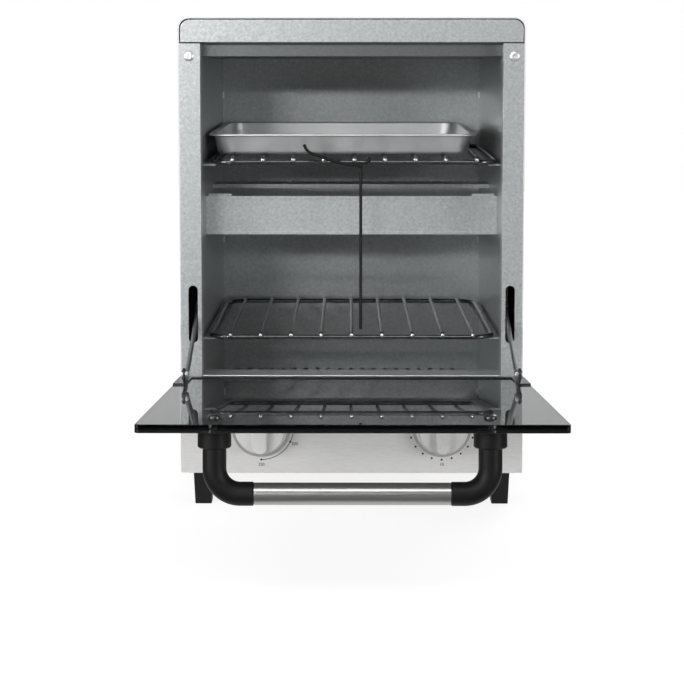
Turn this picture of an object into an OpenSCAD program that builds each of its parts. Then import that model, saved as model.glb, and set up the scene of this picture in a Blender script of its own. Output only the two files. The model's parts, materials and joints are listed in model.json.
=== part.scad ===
// Upright dry heat sterilizer with a drop-down glass door, shown open.
// X runs across the front, Y from the front to the back, Z up. The origin is
// on the bench, under the middle of the whole object with its door open.
// Places along Y are counted from the front plane, where the posts face the door.

/* [Cabinet] */
// Width of the cabinet
body_w = 250; // [240:1:300]
// Height of the cabinet without its feet
cabinet_h = 332; // [325:1:380]
// Depth from the front plane to the back of the rear panel
body_d = 236; // [230:1:280]
// Height of the feet
foot_h = 24; // [15:1:40]
// Thickness of the cabinet's sheet metal
sheet = 1; // [0.8:0.1:1.4]
// Radius of the shell's top edges
shell_r = 8; // [4:0.5:12]
// Side of a foot at its top
foot_w = 14; // [10:0.5:18]
// Distance from the cabinet's side to a foot's middle
foot_inset = 16; // [14:0.5:20]
// Length of a slot in the sides
louvre_l = 25; // [15:1:30]
// Height of a slot in the sides
louvre_h = 4; // [3:0.25:5]
// Distance between the slots along the depth
louvre_step = 46.5; // [35:0.5:48]
// Distance between the rows of slots
louvre_row_step = 15; // [10:0.5:18]
// Columns of slots on each side
louvre_cols = 4; // [2:1:4]
// Rows of slots on each side
louvre_rows = 3; // [1:1:4]

/* [Front frame] */
// Visible width of a post
post_w = 16; // [15:0.5:20]
// Height of the lintel above the opening
lintel_h = 17; // [12:0.5:24]
// Height of the control panel
panel_h = 67.5; // [62:0.5:80]
// Thickness of the control panel
panel_t = 1.2; // [0.8:0.1:2]
// Radius of the control panel's lower corners
panel_r = 7; // [3:0.5:10]
// Height of the sill above the control panel
sill_h = 3.8; // [3.5:0.1:6]
// Depth of the shelf behind the sill
shelf_d = 28.6; // [20:0.2:34]
// Width of the arm slots in the posts
slot_w = 6.8; // [6.2:0.1:8]
// Height of the arm slots
slot_h = 42; // [40:0.5:52]
// Height of the arm slots' lower ends above the sill
slot_rise = 24.7; // [22:0.1:26]
// Diameter of the rivet heads on the posts
rivet_head_d = 7.5; // [5:0.25:9]

/* [Cavity] */
// Distance from the cavity's back wall to the back of the rear panel
back_room = 25; // [12:1:30]
// Distance from the top of the cabinet down to the ceiling
ceiling_drop = 28; // [22:0.5:34]
// Distance from the sill down to the floor pan
floor_drop = 37.3; // [33:0.1:40]
// Distance between the vent holes in the back wall
vent_step = 9.7; // [8:0.1:12]
// Least distance from the outermost vent hole to the cavity's side
vent_margin = 8; // [6:0.5:16]
// Diameter of the vent holes
vent_d = 4; // [2:0.25:5]

/* [Middle heater] */
// Height of the guard
guard_h = 28.8; // [24:0.2:36]
// Height of the guard's top above the sill
guard_rise = 129; // [120:0.5:134]
// Distance from the front plane to the guard
guard_y = 40; // [34:0.5:48]
// Depth of the guard's folded edges
guard_lip = 6; // [4:0.5:10]
// Distance from the front plane to the cover behind the guard
cover_y = 110; // [100:1:120]
// Depth of the cover
cover_d = 32; // [24:1:40]
// Height of the cover above the guard's top
cover_rise = 4.3; // [3:0.1:8]
// Height of the cover's front lip
cover_lip = 3.2; // [2:0.1:5]
// Diameter of the heating tubes
tube_d = 8; // [6:0.5:10]
// Diameter of the ceramic bushes
bush_d = 13; // [11:0.5:16]

/* [Racks and tray] */
// Room between a rack and the cavity's wall on each side
rack_room = 3.5; // [3:0.5:8]
// Room behind a rack
rack_back_room = 7; // [4:1:20]
// Distance from the front plane to the front rails of the racks
rack_y = 9; // [8:0.5:10]
// Height of the lower rack's frame above the sill
lower_rack_rise = 27.7; // [25:0.1:40]
// Height of the upper rack's frame above the sill, at its front
upper_rack_rise = 156; // [150:0.5:170]
// Slope of the upper rack, rising to the back
upper_rack_tilt = 1.1; // [0:0.1:1.5]
// Sideways place of the upper rack
upper_rack_x = 2; // [-2:0.5:2]
// Diameter of a rack's frame wire
frame_wire_d = 3.4; // [3:0.1:4]
// Diameter of a rack's cross wires
cross_wire_d = 3; // [2.4:0.1:3.4]
// Distance between the cross wires
wire_step = 22.2; // [18:0.1:26]
// Radius of a rack's corners
rack_r = 15; // [10:0.5:20]
// How much narrower the tray's half is than the rack's
tray_inset = 6; // [6:0.5:14]
// Room behind the tray
tray_back_room = 5; // [4:1:30]
// Height of the tray
tray_h = 13; // [10:0.5:20]
// Thickness of the tray's sheet
tray_t = 0.8; // [0.6:0.1:1.2]
// Width of the tray's rim
tray_rim = 3.7; // [3:0.1:5]
// Radius of the tray's corners
tray_r = 16; // [10:0.5:20]
// Sideways place of the tray
tray_x = -6.5; // [-7:0.5:4]
// Diameter of the gripper's wire
grip_wire_d = 2.6; // [2:0.1:2.8]

/* [Door] */
// How far the glass stops short of the cabinet's side
glass_inset = 1; // [0.5:0.1:3]
// Height of the glass when the door is closed
glass_l = 254; // [240:1:256]
// Thickness of the glass
glass_t = 5; // [4:0.25:5]
// Radius of the glass's corners
glass_r = 3; // [1:0.5:8]
// How far the open door stands short of level, in degrees
door_tilt = 4.7; // [2:0.1:6]
// Distance from the hinge axis to the inner face of the glass
face_offset = 4.7; // [4.4:0.1:4.7]
// Distance from the front plane to the hinge axis
hinge_out = 6.2; // [6.2:0.1:7]
// Diameter of a hinge barrel
barrel_d = 7; // [6:0.25:7]
// Diameter of a hinge pin
hinge_pin_d = 3; // [2.5:0.1:3.5]
// Running clearance of a pin, on the radius
pin_clear = 0.05; // [0.02:0.01:0.1]
// Distance from the cabinet's side to a hinge ear's middle
ear_inset = 47; // [41:0.5:53]
// Width of a hinge ear
ear_w = 16; // [12:0.5:20]
// Width of each door barrel beside an ear
door_barrel_w = 10; // [8:0.5:12]
// Distance from the hinge axis to the arm's rivet, along the door
arm_out = 61; // [60:0.5:62]
// Height of the arm's rivet above the inner face of the glass
arm_up = 8; // [7.5:0.1:8.5]
// Length of an arm between its rivet and its spring hole
arm_l = 90; // [84:0.5:94]
// Height of an arm's plate
arm_h = 8; // [7:0.25:8.5]
// Thickness of an arm's plate
arm_t = 1.6; // [1.2:0.1:1.8]
// Slope of an arm with the door open, in degrees
arm_slope = 21; // [20:0.5:22]
// Width of a corner bracket
bracket_w = 9.2; // [8:0.2:10]
// Thickness of a corner bracket
bracket_t = 1.2; // [1:0.05:1.2]

/* [Handle] */
// Distance from the glass's side to the middle of an elbow
handle_inset = 43.3; // [34:0.1:54]
// Distance from the outer face of the glass to the middle of the bar
handle_drop = 39.5; // [34:0.5:45]
// Distance from the door's free edge to the handle's screws
handle_edge = 30.4; // [24:0.2:40]
// Diameter of an elbow
elbow_d = 14; // [12.5:0.25:16]
// Radius of an elbow's bend
elbow_r = 15; // [12:0.5:18]
// Diameter of an elbow's collar
collar_d = 19.7; // [17:0.1:24]
// Height of an elbow's collar
collar_h = 8; // [5:0.5:12]
// Diameter of the bar
bar_d = 13; // [11:0.25:14]
// Distance from an elbow's middle to the visible end of the bar
elbow_reach = 22.9; // [20:0.1:28]
// Diameter of the handle's screws
handle_screw_d = 4; // [3:0.25:5]

/* [Controls] */
// Diameter of a knob
knob_d = 40; // [32:0.5:44]
// Height of a knob off the panel
knob_h = 16; // [12:0.5:20]
// Distance from the cabinet's side to a knob's middle
knob_inset = 59; // [55:0.5:70]
// Height of the knobs above the bottom of the control panel
knob_rise = 33.6; // [30:0.2:36]
// Diameter of the ring round a knob
dial_ring_d = 43; // [34:0.5:46]
// Diameter of a knob shaft
shaft_d = 6; // [5:0.25:6.35]
// Width of the thermostat's and the timer's bodies
control_w = 36; // [30:0.5:40]
// Depth of the thermostat's body
thermostat_d = 24; // [16:0.5:25]
// Depth of the timer's body
timer_d = 16; // [12:0.5:17]

/* [Hidden] */
$fn = 48;

// Small gap between pieces that lie beside each other
gap = 0.3;
// Seam between sheets at the front
seam = 0.8;
eps = 0.01;

cabinet_top = foot_h + cabinet_h;
half_w = body_w / 2;
inner_half_w = half_w - sheet;
cavity_half_w = half_w - post_w;
panel_top = foot_h + panel_h;
sill_z = panel_top + sill_h;
lintel_z = cabinet_top - sheet - lintel_h;
ceiling_z = cabinet_top - ceiling_drop;
floor_z = sill_z - floor_drop;
liner_y = 14;

cavity_d = body_d - back_room;
vent_count = 2 * floor((cavity_half_w - vent_margin) / vent_step) + 1;
rack_w = 2 * (cavity_half_w - rack_room);
wire_count = 2 * floor((rack_w / 2 - frame_wire_d) / wire_step) + 1;
rack_d = cavity_d - rack_y - rack_back_room;
tray_w = rack_w - 2 * tray_inset;
knob_span = body_w - 2 * knob_inset;
ear_x = half_w - ear_inset;

// Places on the door, as distances from the hinge axis along the door and above it
glass_w = body_w - 2 * glass_inset;
handle_span = glass_w - 2 * handle_inset;
bar_l = handle_span - 2 * elbow_reach;
hinge_y = -hinge_out;
hinge_z = panel_top;
glass_start = 6;
glass_end = glass_start + glass_l;
rail_t = 1.5;
rail_depth = 24;
rail_start = glass_start - rail_t;
bracket_end = 55;
bracket_ear_t = 1.5;
bracket_x = glass_w / 2 - bracket_w;
arm_gap = 0.5;
arm_x = bracket_x - arm_t - arm_gap;
arm_pivot_h = face_offset + arm_up;
rivet_d = 4;
rivet_clear = 0.05;
handle_at = glass_end - handle_edge;
outer_face = face_offset - glass_t;

// The origin lies under the middle of the whole object
gland_out = 10;
door_reach = hinge_out + glass_end * cos(door_tilt) - outer_face * sin(door_tilt);
front_y = (door_reach - body_d - gland_out) / 2;

slot_low = sill_z + slot_rise;
slot_x = half_w - 9.8;
guard_top = sill_z + guard_rise;
cover_z = guard_top + cover_rise;
middle_tube_y = [68, 96];
middle_tube_z = guard_top - guard_h / 2 - 3;
bottom_tube_y = [62, 124];
bottom_tube_z = floor_z + sheet + tube_d / 2 + 6;
bush_l = 9;
lower_rack_z = sill_z + lower_rack_rise;
upper_rack_z = sill_z + upper_rack_rise;
weld = 0.5;
rack_top = frame_wire_d / 2 + cross_wire_d - weld;
wire_drop = 5;
ledge_t = 1.5;
ledge_w = 9;
tray_y = 25;
tray_d = cavity_d - tray_y - tray_back_room;
knob_z = foot_h + knob_rise;
knob_skirt = 4;
knob_cap = 5;
ring_t = 0.6;
neck_d = 10;
bell_d = 7;
shaft_clear = 0.05;
shaft_in = 10;
grip_y = 2.6;

// Moves a piece from the front plane's frame to the object's frame
module place() translate([0, front_y, 0]) children();

// Carries a piece from the door's own frame to its open place: X across, Y along the door
// from the hinge axis, Z up from its inner face
module on_door() {
    place() translate([0, hinge_y, hinge_z]) rotate([-door_tilt, 0, 0]) mirror([0, 1, 0]) children();
}

// The same piece on the left and on the right
module both_sides() {
    children();
    mirror([1, 0, 0]) children();
}

module side(s) {
    if (s < 0) mirror([1, 0, 0]) children();
    else children();
}

// A block given by its lowest and highest corners
module block(low, high) translate(low) cube(high - low);

// A round bar from one point to another
module rod(a, b, d) {
    v = b - a;
    l = norm(v);
    flat = norm([v[0], v[1]]);
    translate(a) rotate([0, atan2(flat, v[2]), atan2(v[1], v[0])]) cylinder(h = l, d = d);
}

// A bent wire through a list of points
module wire(points, d) {
    for (i = [0 : len(points) - 2]) rod(points[i], points[i + 1], d);
    for (p = points) translate(p) sphere(d = d);
}

function unit(v) = v / norm(v);

// The direction of a path at one of its points
function heading(path, i) = unit(
    (i > 0 ? unit(path[i] - path[i - 1]) : [0, 0, 0])
    + (i < len(path) - 1 ? unit(path[i + 1] - path[i]) : [0, 0, 0]));

// The ring of a swept tube at one point of its path, square to the path
function ring(path, i, d, across, sides) =
    let (t = heading(path, i), u = unit(cross(t, across)), v = cross(t, u))
    [for (k = [0 : sides - 1]) path[i] + d / 2 * (cos(360 * k / sides) * u + sin(360 * k / sides) * v)];

// A tube swept along a path. No stretch of the path may run along the vector across.
module tube(path, d, across, sides = 10) {
    n = len(path);
    polyhedron(
        points = [for (i = [0 : n - 1]) each ring(path, i, d, across, sides)],
        faces = [
            [for (k = [0 : sides - 1]) k],
            [for (k = [sides - 1 : -1 : 0]) (n - 1) * sides + k],
            for (i = [0 : n - 2], k = [0 : sides - 1])
                let (a = i * sides + k, b = i * sides + (k + 1) % sides)
                each [[a, a + sides, b + sides], [a, b + sides, b]]
        ]);
}

// A rectangle with round corners, from its lower left corner
module round_square(w, h, r) {
    translate([r, 0]) square([w - 2 * r, h]);
    translate([0, r]) square([w, h - 2 * r]);
    for (x = [r, w - r], y = [r, h - r]) translate([x, y]) circle(r);
}

// A slot with round ends, lying along X about its middle
module stadium(l, h) {
    square([l - h, h], center = true);
    for (s = [-1, 1]) translate([s * (l - h) / 2, 0]) circle(d = h);
}

// A flat plate across the front: an outline in X and Z, from y to y plus t
module upright(y, t) translate([0, y + t, 0]) rotate([90, 0, 0]) linear_extrude(t) children();

// A side outline in Y and Z, from x to x plus t
module sideways(x, t) translate([x, 0, 0]) rotate([90, 0, 90]) linear_extrude(t) children();

// The shell's cross-section, with round top corners
module shell_outline(w, top, r) {
    translate([-w / 2, foot_h]) square([w, top - foot_h - r]);
    translate([-w / 2 + r, foot_h]) square([w - 2 * r, top - foot_h]);
    for (s = [-1, 1]) translate([s * (w / 2 - r), top - r]) circle(r);
}

module outer_shell() color("white") place() difference() {
    upright(0, body_d) shell_outline(body_w, cabinet_top, shell_r);
    translate([0, -1, 0]) upright(0, body_d + 2)
        shell_outline(2 * inner_half_w, cabinet_top - sheet, shell_r - sheet);
    block([-half_w, -1, foot_h - 1], [half_w, body_d + 1, foot_h + eps]);
    for (c = [0 : louvre_cols - 1], r = [0 : louvre_rows - 1])
        translate([0, body_d - 17 - louvre_l / 2 - c * louvre_step, cabinet_top - 38 - r * louvre_row_step])
            rotate([90, 0, 90]) translate([0, 0, -half_w - 1])
                linear_extrude(body_w + 2) stadium(louvre_l, louvre_h);
    for (y = shell_screw_y, z = shell_screw_z)
        translate([-half_w - 1, y, z]) rotate([0, 90, 0]) cylinder(h = body_w + 2, d = screw_d + 0.4);
}

screw_d = 3.5;
shell_screw_y = [24, body_d - 24];
shell_screw_z = [foot_h + 8];

module shell_screws() color("silver") place() both_sides()
    for (y = shell_screw_y, z = shell_screw_z) translate([inner_half_w - 4, y, z]) rotate([0, 90, 0])
        screw(4 + sheet);

module rear_panel() color("white") place() difference() {
    upright(body_d - sheet, sheet)
        shell_outline(2 * inner_half_w - gap, cabinet_top - sheet - gap / 2, shell_r - sheet);
    for (row = [0 : 3], s = [-1 : 1])
        translate([s * (half_w - 65), body_d - sheet - 1, cabinet_top - 60 - row * 14])
            rotate([-90, 0, 0]) linear_extrude(sheet + 2) stadium(44, 4);
    translate([gland_x, body_d - sheet - 1, gland_z]) rotate([-90, 0, 0])
        cylinder(h = sheet + 2, d = gland_d);
    rear_screw_holes();
}

rear_screw_z = foot_h + 8;

// Clearance holes for the screws of the rear panel, through it and the base plate's wall
module rear_screw_holes() for (x = rear_screw_x) translate([x, body_d - 2 * sheet - 1, rear_screw_z])
    rotate([-90, 0, 0]) cylinder(h = 2 * sheet + 2, d = screw_d + 0.1);

rear_screw_x = [-half_w + 25, 0, half_w - 25];

module rear_screws() color("silver") place() for (x = rear_screw_x)
    translate([x, body_d - 2 * sheet - 3, rear_screw_z]) rotate([-90, 0, 0]) screw(2 * sheet + 3);

// A pan head screw whose head's seat is at l
module screw(l) {
    cylinder(h = l, d = screw_d);
    translate([0, 0, l]) cylinder(h = screw_head_h, d1 = 2 * screw_d, d2 = 1.4 * screw_d, $fn = 32);
}

screw_head_h = 1.6;

gland_x = half_w - 40;
gland_z = foot_h + 24;
gland_d = 12;
cord_hole_d = 7;

module cord_gland() color("dimgray") place() translate([gland_x, body_d, gland_z]) rotate([-90, 0, 0])
    difference() {
        union() {
            cylinder(h = gland_out, d = 16);
            translate([0, 0, -10]) cylinder(h = 10, d = gland_d - 0.1);
        }
        translate([0, 0, -11]) cylinder(h = gland_out + 12, d = cord_hole_d);
    }

base_wall = 14;

module base_plate() color("silver") place() difference() {
    block([-inner_half_w, 0, foot_h], [inner_half_w, body_d - sheet, foot_h + base_wall]);
    block([-inner_half_w + sheet, sheet, foot_h + sheet],
        [inner_half_w - sheet, body_d - 2 * sheet, foot_h + base_wall + 1]);
    for (c = [0 : 5]) translate([0, body_d / 2 - 3 + (c - 2.5) * 18, foot_h - 1])
        linear_extrude(sheet + 2) stadium(body_w - 140, 5);
    rear_screw_holes();
    for (y = shell_screw_y, z = shell_screw_z)
        translate([-half_w, y, z]) rotate([0, 90, 0]) cylinder(h = body_w, d = screw_d + 0.1);
}

foot_y = [2 + foot_w / 2, body_d - 2 - foot_w / 2];

module feet() color("#1a1a1a") place() for (y = foot_y, s = [-1, 1])
    translate([s * (half_w - foot_inset), y - foot_w / 2, 0])
        upright(0, foot_w) polygon([
            [-foot_w / 2 + 1, 0], [foot_w / 2 - 1, 0], [foot_w / 2, foot_h], [-foot_w / 2, foot_h]
        ]);

module lintel() color("silver") place() {
    upright(0, sheet) intersection() {
        shell_outline(2 * inner_half_w, cabinet_top - sheet, shell_r - sheet);
        translate([-half_w, lintel_z]) square([body_w, lintel_h + 1]);
    }
    block([-cavity_half_w, 0, lintel_z], [cavity_half_w, liner_y, lintel_z + sheet]);
}

module post(s) color("silver") place() side(s) difference() {
    union() {
        block([cavity_half_w, 0, panel_top], [inner_half_w, sheet, lintel_z - seam]);
        block([cavity_half_w, 0, panel_top], [cavity_half_w + sheet, liner_y, lintel_z - seam]);
    }
    translate([slot_x, -1, slot_low + slot_h / 2]) rotate([-90, 0, 0])
        linear_extrude(sheet + 2) rotate(90) stadium(slot_h, slot_w);
    translate([half_w - 8, -1, rivet_z]) rotate([-90, 0, 0]) cylinder(h = sheet + 2, d = rivet_d + 0.1);
}

rivet_z = lintel_z - 10;

module left_post() post(-1);
module right_post() post(1);

module frame_rivets() color("silver") place() for (s = [-1, 1])
    translate([s * (half_w - 8), sheet + 3, rivet_z]) rotate([90, 0, 0]) {
        cylinder(h = sheet + 3, d = rivet_d);
        translate([0, 0, sheet + 3]) intersection() {
            cylinder(h = 1, d = rivet_head_d);
            translate([0, 0, 1 - rivet_head_d]) sphere(r = rivet_head_d, $fn = 96);
        }
    }

module sill() color("silver") place() {
    block([-cavity_half_w, 0, panel_top - 6], [cavity_half_w, sheet, sill_z]);
    block([-cavity_half_w, 0, sill_z - sheet], [cavity_half_w, shelf_d, sill_z]);
}

module control_panel() color("whitesmoke") place() difference() {
    upright(-panel_t, panel_t) {
        translate([-half_w, foot_h + panel_r]) square([body_w, panel_h - panel_r]);
        translate([-half_w + panel_r, foot_h]) square([body_w - 2 * panel_r, panel_h]);
        for (s = [-1, 1]) translate([s * (half_w - panel_r), foot_h + panel_r]) circle(panel_r);
    }
    for (s = [-1, 1]) translate([s * knob_span / 2, -panel_t - 1, knob_z]) rotate([-90, 0, 0])
        cylinder(h = panel_t + 2, d = neck_d + 0.2);
}

// The place of the tab that holds a door spring's inner end
spring_tab_y = 162.4;
spring_tab_z = 150;

module cavity_wall(s) color("silver") place() side(s) difference() {
    union() {
        block([cavity_half_w, liner_y, floor_z], [cavity_half_w + sheet, cavity_d + sheet, ceiling_z + sheet]);
        block([cavity_half_w, spring_tab_y, spring_tab_z - 6],
            [cavity_half_w + sheet + 7, spring_tab_y + 2, spring_tab_z + 6]);
    }
    for (y = middle_tube_y) translate([0, y, middle_tube_z]) rotate([0, 90, 0])
        cylinder(h = half_w, d = tube_d + 0.6);
    for (y = bottom_tube_y) translate([0, y, bottom_tube_z]) rotate([0, 90, 0])
        cylinder(h = half_w, d = tube_d + 0.6);
    if (s > 0) translate([0, sensor_y, sensor_z]) rotate([0, 90, 0]) cylinder(h = half_w, d = sensor_d + 0.4);
}

module left_cavity_wall() cavity_wall(-1);
module right_cavity_wall() cavity_wall(1);

vent_rows = [floor_z + 3.4, cover_z - 5.5];

module back_cavity_wall() color("silver") place() difference() {
    block([-cavity_half_w, cavity_d, floor_z], [cavity_half_w, cavity_d + sheet, ceiling_z]);
    for (z = vent_rows, i = [0 : vent_count - 1])
        translate([(i - (vent_count - 1) / 2) * vent_step, cavity_d - 1, z]) rotate([-90, 0, 0])
            cylinder(h = sheet + 2, d = vent_d, $fn = 24);
}

module ceiling() color("silver") place() {
    block([-cavity_half_w, liner_y, ceiling_z], [cavity_half_w, cavity_d + sheet, ceiling_z + sheet]);
    block([-cavity_half_w, liner_y, ceiling_z], [cavity_half_w, liner_y + sheet, lintel_z + sheet]);
}

module floor_pan() color("silver") place() {
    block([-cavity_half_w, shelf_d, floor_z - sheet], [cavity_half_w, cavity_d + sheet, floor_z]);
    block([-cavity_half_w, shelf_d, floor_z - sheet], [cavity_half_w, shelf_d + sheet, sill_z - sheet]);
}

module rack_ledges(s) color("silver") place() {
    x = s * (cavity_half_w - ledge_w / 2);
    translate([x, 0, lower_rack_z - frame_wire_d / 2 - gap]) ledge();
    translate([x, rack_y, upper_rack_z]) rotate([upper_rack_tilt, 0, 0])
        translate([0, -rack_y, -frame_wire_d / 2 - gap]) ledge();
}

module ledge() block([-ledge_w / 2, 20, -ledge_t], [ledge_w / 2, cavity_d - 8, 0]);

module left_rack_ledges() rack_ledges(-1);
module right_rack_ledges() rack_ledges(1);

module middle_heater_guard() color("silver") place() {
    block([-cavity_half_w, guard_y, guard_top - guard_h], [cavity_half_w, guard_y + sheet, guard_top]);
    block([-cavity_half_w, guard_y, guard_top - sheet], [cavity_half_w, guard_y + guard_lip, guard_top]);
    block([-cavity_half_w, guard_y, guard_top - guard_h],
        [cavity_half_w, guard_y + guard_lip, guard_top - guard_h + sheet]);
}

module middle_heater_cover() color("silver") place() difference() {
    union() {
        block([-cavity_half_w, cover_y, cover_z - sheet], [cavity_half_w, cover_y + cover_d, cover_z]);
        block([-cavity_half_w, cover_y, cover_z - cover_lip], [cavity_half_w, cover_y + sheet, cover_z]);
    }
    for (i = [0 : vent_count - 1])
        translate([(i - (vent_count - 1) / 2) * vent_step, cover_y + cover_d - 8, cover_z - sheet - 1])
            cylinder(h = sheet + 2, d = vent_d, $fn = 24);
}

tube_half_l = cavity_half_w + sheet + bush_l - 1;

module heating_tube(y, z) translate([-tube_half_l, y, z]) rotate([0, 90, 0])
    cylinder(h = 2 * tube_half_l, d = tube_d);

module middle_tubes() color("#8a8178") place() for (y = middle_tube_y) heating_tube(y, middle_tube_z);
module bottom_tubes() color("#8a8178") place() for (y = bottom_tube_y) heating_tube(y, bottom_tube_z);

module ceramic_bush(y, z) both_sides() translate([cavity_half_w + sheet, y, z]) rotate([0, 90, 0])
    difference() {
        cylinder(h = bush_l, d = bush_d);
        translate([0, 0, -1]) cylinder(h = bush_l, d = tube_d + 0.1);
    }

module ceramic_bushes() color("ivory") place() {
    for (y = middle_tube_y) ceramic_bush(y, middle_tube_z);
    for (y = bottom_tube_y) ceramic_bush(y, bottom_tube_z);
}

// A round body behind the panel with a threaded neck through it
module control_body(x, depth) translate([x, 0, knob_z]) rotate([-90, 0, 0]) difference() {
    union() {
        cylinder(h = depth, d = control_w);
        translate([0, 0, -panel_t]) cylinder(h = panel_t + 1, d = neck_d);
    }
    translate([0, 0, -panel_t - 1]) cylinder(h = depth, d = shaft_d + 2 * shaft_clear);
}

module thermostat() color("#c9c4b8") place() control_body(-knob_span / 2, thermostat_d);
module timer() color("#d8d8d8") place() control_body(knob_span / 2, timer_d);

module timer_bell() color("silver") place()
    translate([knob_span / 2, timer_d, knob_z]) rotate([-90, 0, 0]) difference() {
        cylinder(h = bell_d, d = control_w - 4);
        translate([0, 0, -1]) cylinder(h = bell_d, d = control_w - 7);
    }

// The sensing bulb lies behind the middle heater's guard
sensor_y = guard_y + 12;
sensor_z = guard_top - 10;
sensor_d = 4;
sensor_l = 34;
capillary_d = 1.8;

module sensor_bulb() color("#b87333") place() {
    x = cavity_half_w + sheet + 8;
    y = guard_y;
    z = foot_h + 8;
    wire([
        [-knob_span / 2, thermostat_d + capillary_d / 2 + gap, knob_z - 12], [-knob_span / 2, y, knob_z - 12],
        [-knob_span / 2, y, z], [x, y, z], [x, sensor_y, z], [x, sensor_y, sensor_z],
        [cavity_half_w, sensor_y, sensor_z]
    ], capillary_d);
    rod([cavity_half_w - sensor_l, sensor_y, sensor_z], [cavity_half_w + sheet, sensor_y, sensor_z], sensor_d);
}

block_x = gland_x - 25;
block_y = body_d - 34;

module terminal_block() color("ivory") place()
    block([block_x - 20, block_y, foot_h + sheet], [block_x + 14, block_y + 16, foot_h + 16]);

inside_wire_d = 2;

module inside_wires() color("firebrick") place() {
    off = inside_wire_d / 2 + gap;
    back = block_y - off;
    z = foot_h + 5;
    x = 8 - knob_span / 2;
    tube([
        [block_x - 4, back, z + 7], [block_x - 4, back - 15, z], [block_x - 4, 60, z],
        [knob_span / 2, 44, knob_z - 10], [knob_span / 2, timer_d + bell_d + off, knob_z - 10]
    ], inside_wire_d, [0, 0, 1], 8);
    tube([
        [block_x - 12, back, z + 7], [block_x - 12, back - 12, z], [x, back - 12, z], [x, 60, z],
        [x, 40, knob_z - 8], [x, thermostat_d + off, knob_z - 8]
    ], inside_wire_d, [0, 0, 1], 8);
}

module knob_rings() color("silver") place() for (s = [-1, 1])
    translate([s * knob_span / 2, -panel_t, knob_z]) rotate([90, 0, 0]) difference() {
        cylinder(h = ring_t, d = dial_ring_d);
        translate([0, 0, -1]) cylinder(h = 3, d = neck_d + 0.2);
    }

// A hinge ear: a barrel round the hinge axis, held by a leaf on the sill
module hinge_ear(s) color("#2a2a2a") place() side(s) difference() {
    union() {
        translate([ear_x - ear_w / 2, hinge_y, hinge_z]) rotate([0, 90, 0]) cylinder(h = ear_w, d = barrel_d);
        block([ear_x - ear_w / 2, hinge_y, hinge_z + 0.3], [ear_x + ear_w / 2, 0, hinge_z + 1.8]);
        block([ear_x - ear_w / 2, -1, hinge_z + 0.3], [ear_x + ear_w / 2, 0, sill_z - gap]);
    }
    translate([0, hinge_y, hinge_z]) rotate([0, 90, 0]) cylinder(h = half_w, d = hinge_pin_d + 2 * pin_clear);
}

module left_hinge_ear() hinge_ear(-1);
module right_hinge_ear() hinge_ear(1);

module shaft(x) place() translate([x, shaft_in, knob_z]) rotate([90, 0, 0])
    cylinder(h = shaft_in + panel_t + knob_h - knob_cap - 1, d = shaft_d);

module thermostat_shaft() color("silver") shaft(-knob_span / 2);
module timer_shaft() color("silver") shaft(knob_span / 2);

// A knob with a skirt and a grip bar across its face, standing clear of its ring
module knob(x) place() translate([x, -panel_t - ring_t - gap, knob_z]) rotate([90, 0, 0]) difference() {
    h = knob_h - ring_t - gap;
    union() {
        cylinder(h = knob_skirt, d = knob_d);
        cylinder(h = h - 5, d = knob_d - 5);
        intersection() {
            block([-knob_bar_w / 2, -knob_d / 2, 0], [knob_bar_w / 2, knob_d / 2, h]);
            cylinder(h = knob_h, d = knob_d - 5);
        }
    }
    translate([0, 0, -1]) cylinder(h = 1 + h - knob_cap, d = shaft_d + 0.04);
}

knob_bar_w = 10;

module temperature_knob() color("white") knob(-knob_span / 2);
module timer_knob() color("white") knob(knob_span / 2);

module door_glass() color("#303436") on_door() difference() {
    translate([-glass_w / 2, glass_start, outer_face]) linear_extrude(glass_t)
        round_square(glass_w, glass_l, glass_r);
    for (s = [-1, 1]) translate([s * handle_span / 2, handle_at, outer_face - 1])
        cylinder(h = glass_t + 2, d = handle_screw_d + 1);
}

module door_rail() color("#1c1c1c") on_door() difference() {
    union() {
        sideways(-glass_w / 2, glass_w) {
            translate([rail_start, outer_face - rail_t]) square([rail_depth - rail_start, rail_t]);
            translate([rail_start, outer_face - rail_t]) square([rail_t, glass_t + rail_t + 1]);
            translate([rail_start, face_offset]) square([7, 1]);
        }
        both_sides() for (x = [ear_x - ear_w / 2 - gap - door_barrel_w, ear_x + ear_w / 2 + gap]) {
            translate([x, 0, 0]) rotate([0, 90, 0]) cylinder(h = door_barrel_w, d = barrel_d);
            block([x, 0, outer_face - rail_t], [x + door_barrel_w, rail_start + eps, outer_face]);
        }
    }
    translate([-half_w, 0, 0]) rotate([0, 90, 0]) cylinder(h = body_w, d = hinge_pin_d + 2 * pin_clear);
}

// A black bracket on a corner of the glass, with an ear for the arm's rivet
module corner_bracket(s) color("#1c1c1c") on_door() side(s) {
    block([bracket_x, rail_start + 7, face_offset], [bracket_x + bracket_w, bracket_end, face_offset + bracket_t]);
    difference() {
        sideways(bracket_x, bracket_ear_t) {
            polygon([
                [arm_out - 26, face_offset], [bracket_end, face_offset],
                [arm_out + 4.5, arm_pivot_h - 3], [arm_out + 4.5, arm_pivot_h],
                [arm_out, arm_pivot_h + 4], [arm_out - 5, arm_pivot_h + 3]
            ]);
            translate([arm_out, arm_pivot_h]) circle(d = 9);
        }
        translate([0, arm_out, arm_pivot_h]) rotate([0, 90, 0]) cylinder(h = glass_w, d = rivet_d + 0.02);
    }
}

module left_corner_bracket() corner_bracket(-1);
module right_corner_bracket() corner_bracket(1);

pin_l = ear_w + 2 * door_barrel_w + 2 * gap - 2;

module hinge_pins() color("silver") on_door() both_sides()
    translate([ear_x - pin_l / 2, 0, 0]) rotate([0, 90, 0]) cylinder(h = pin_l, d = hinge_pin_d);

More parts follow.
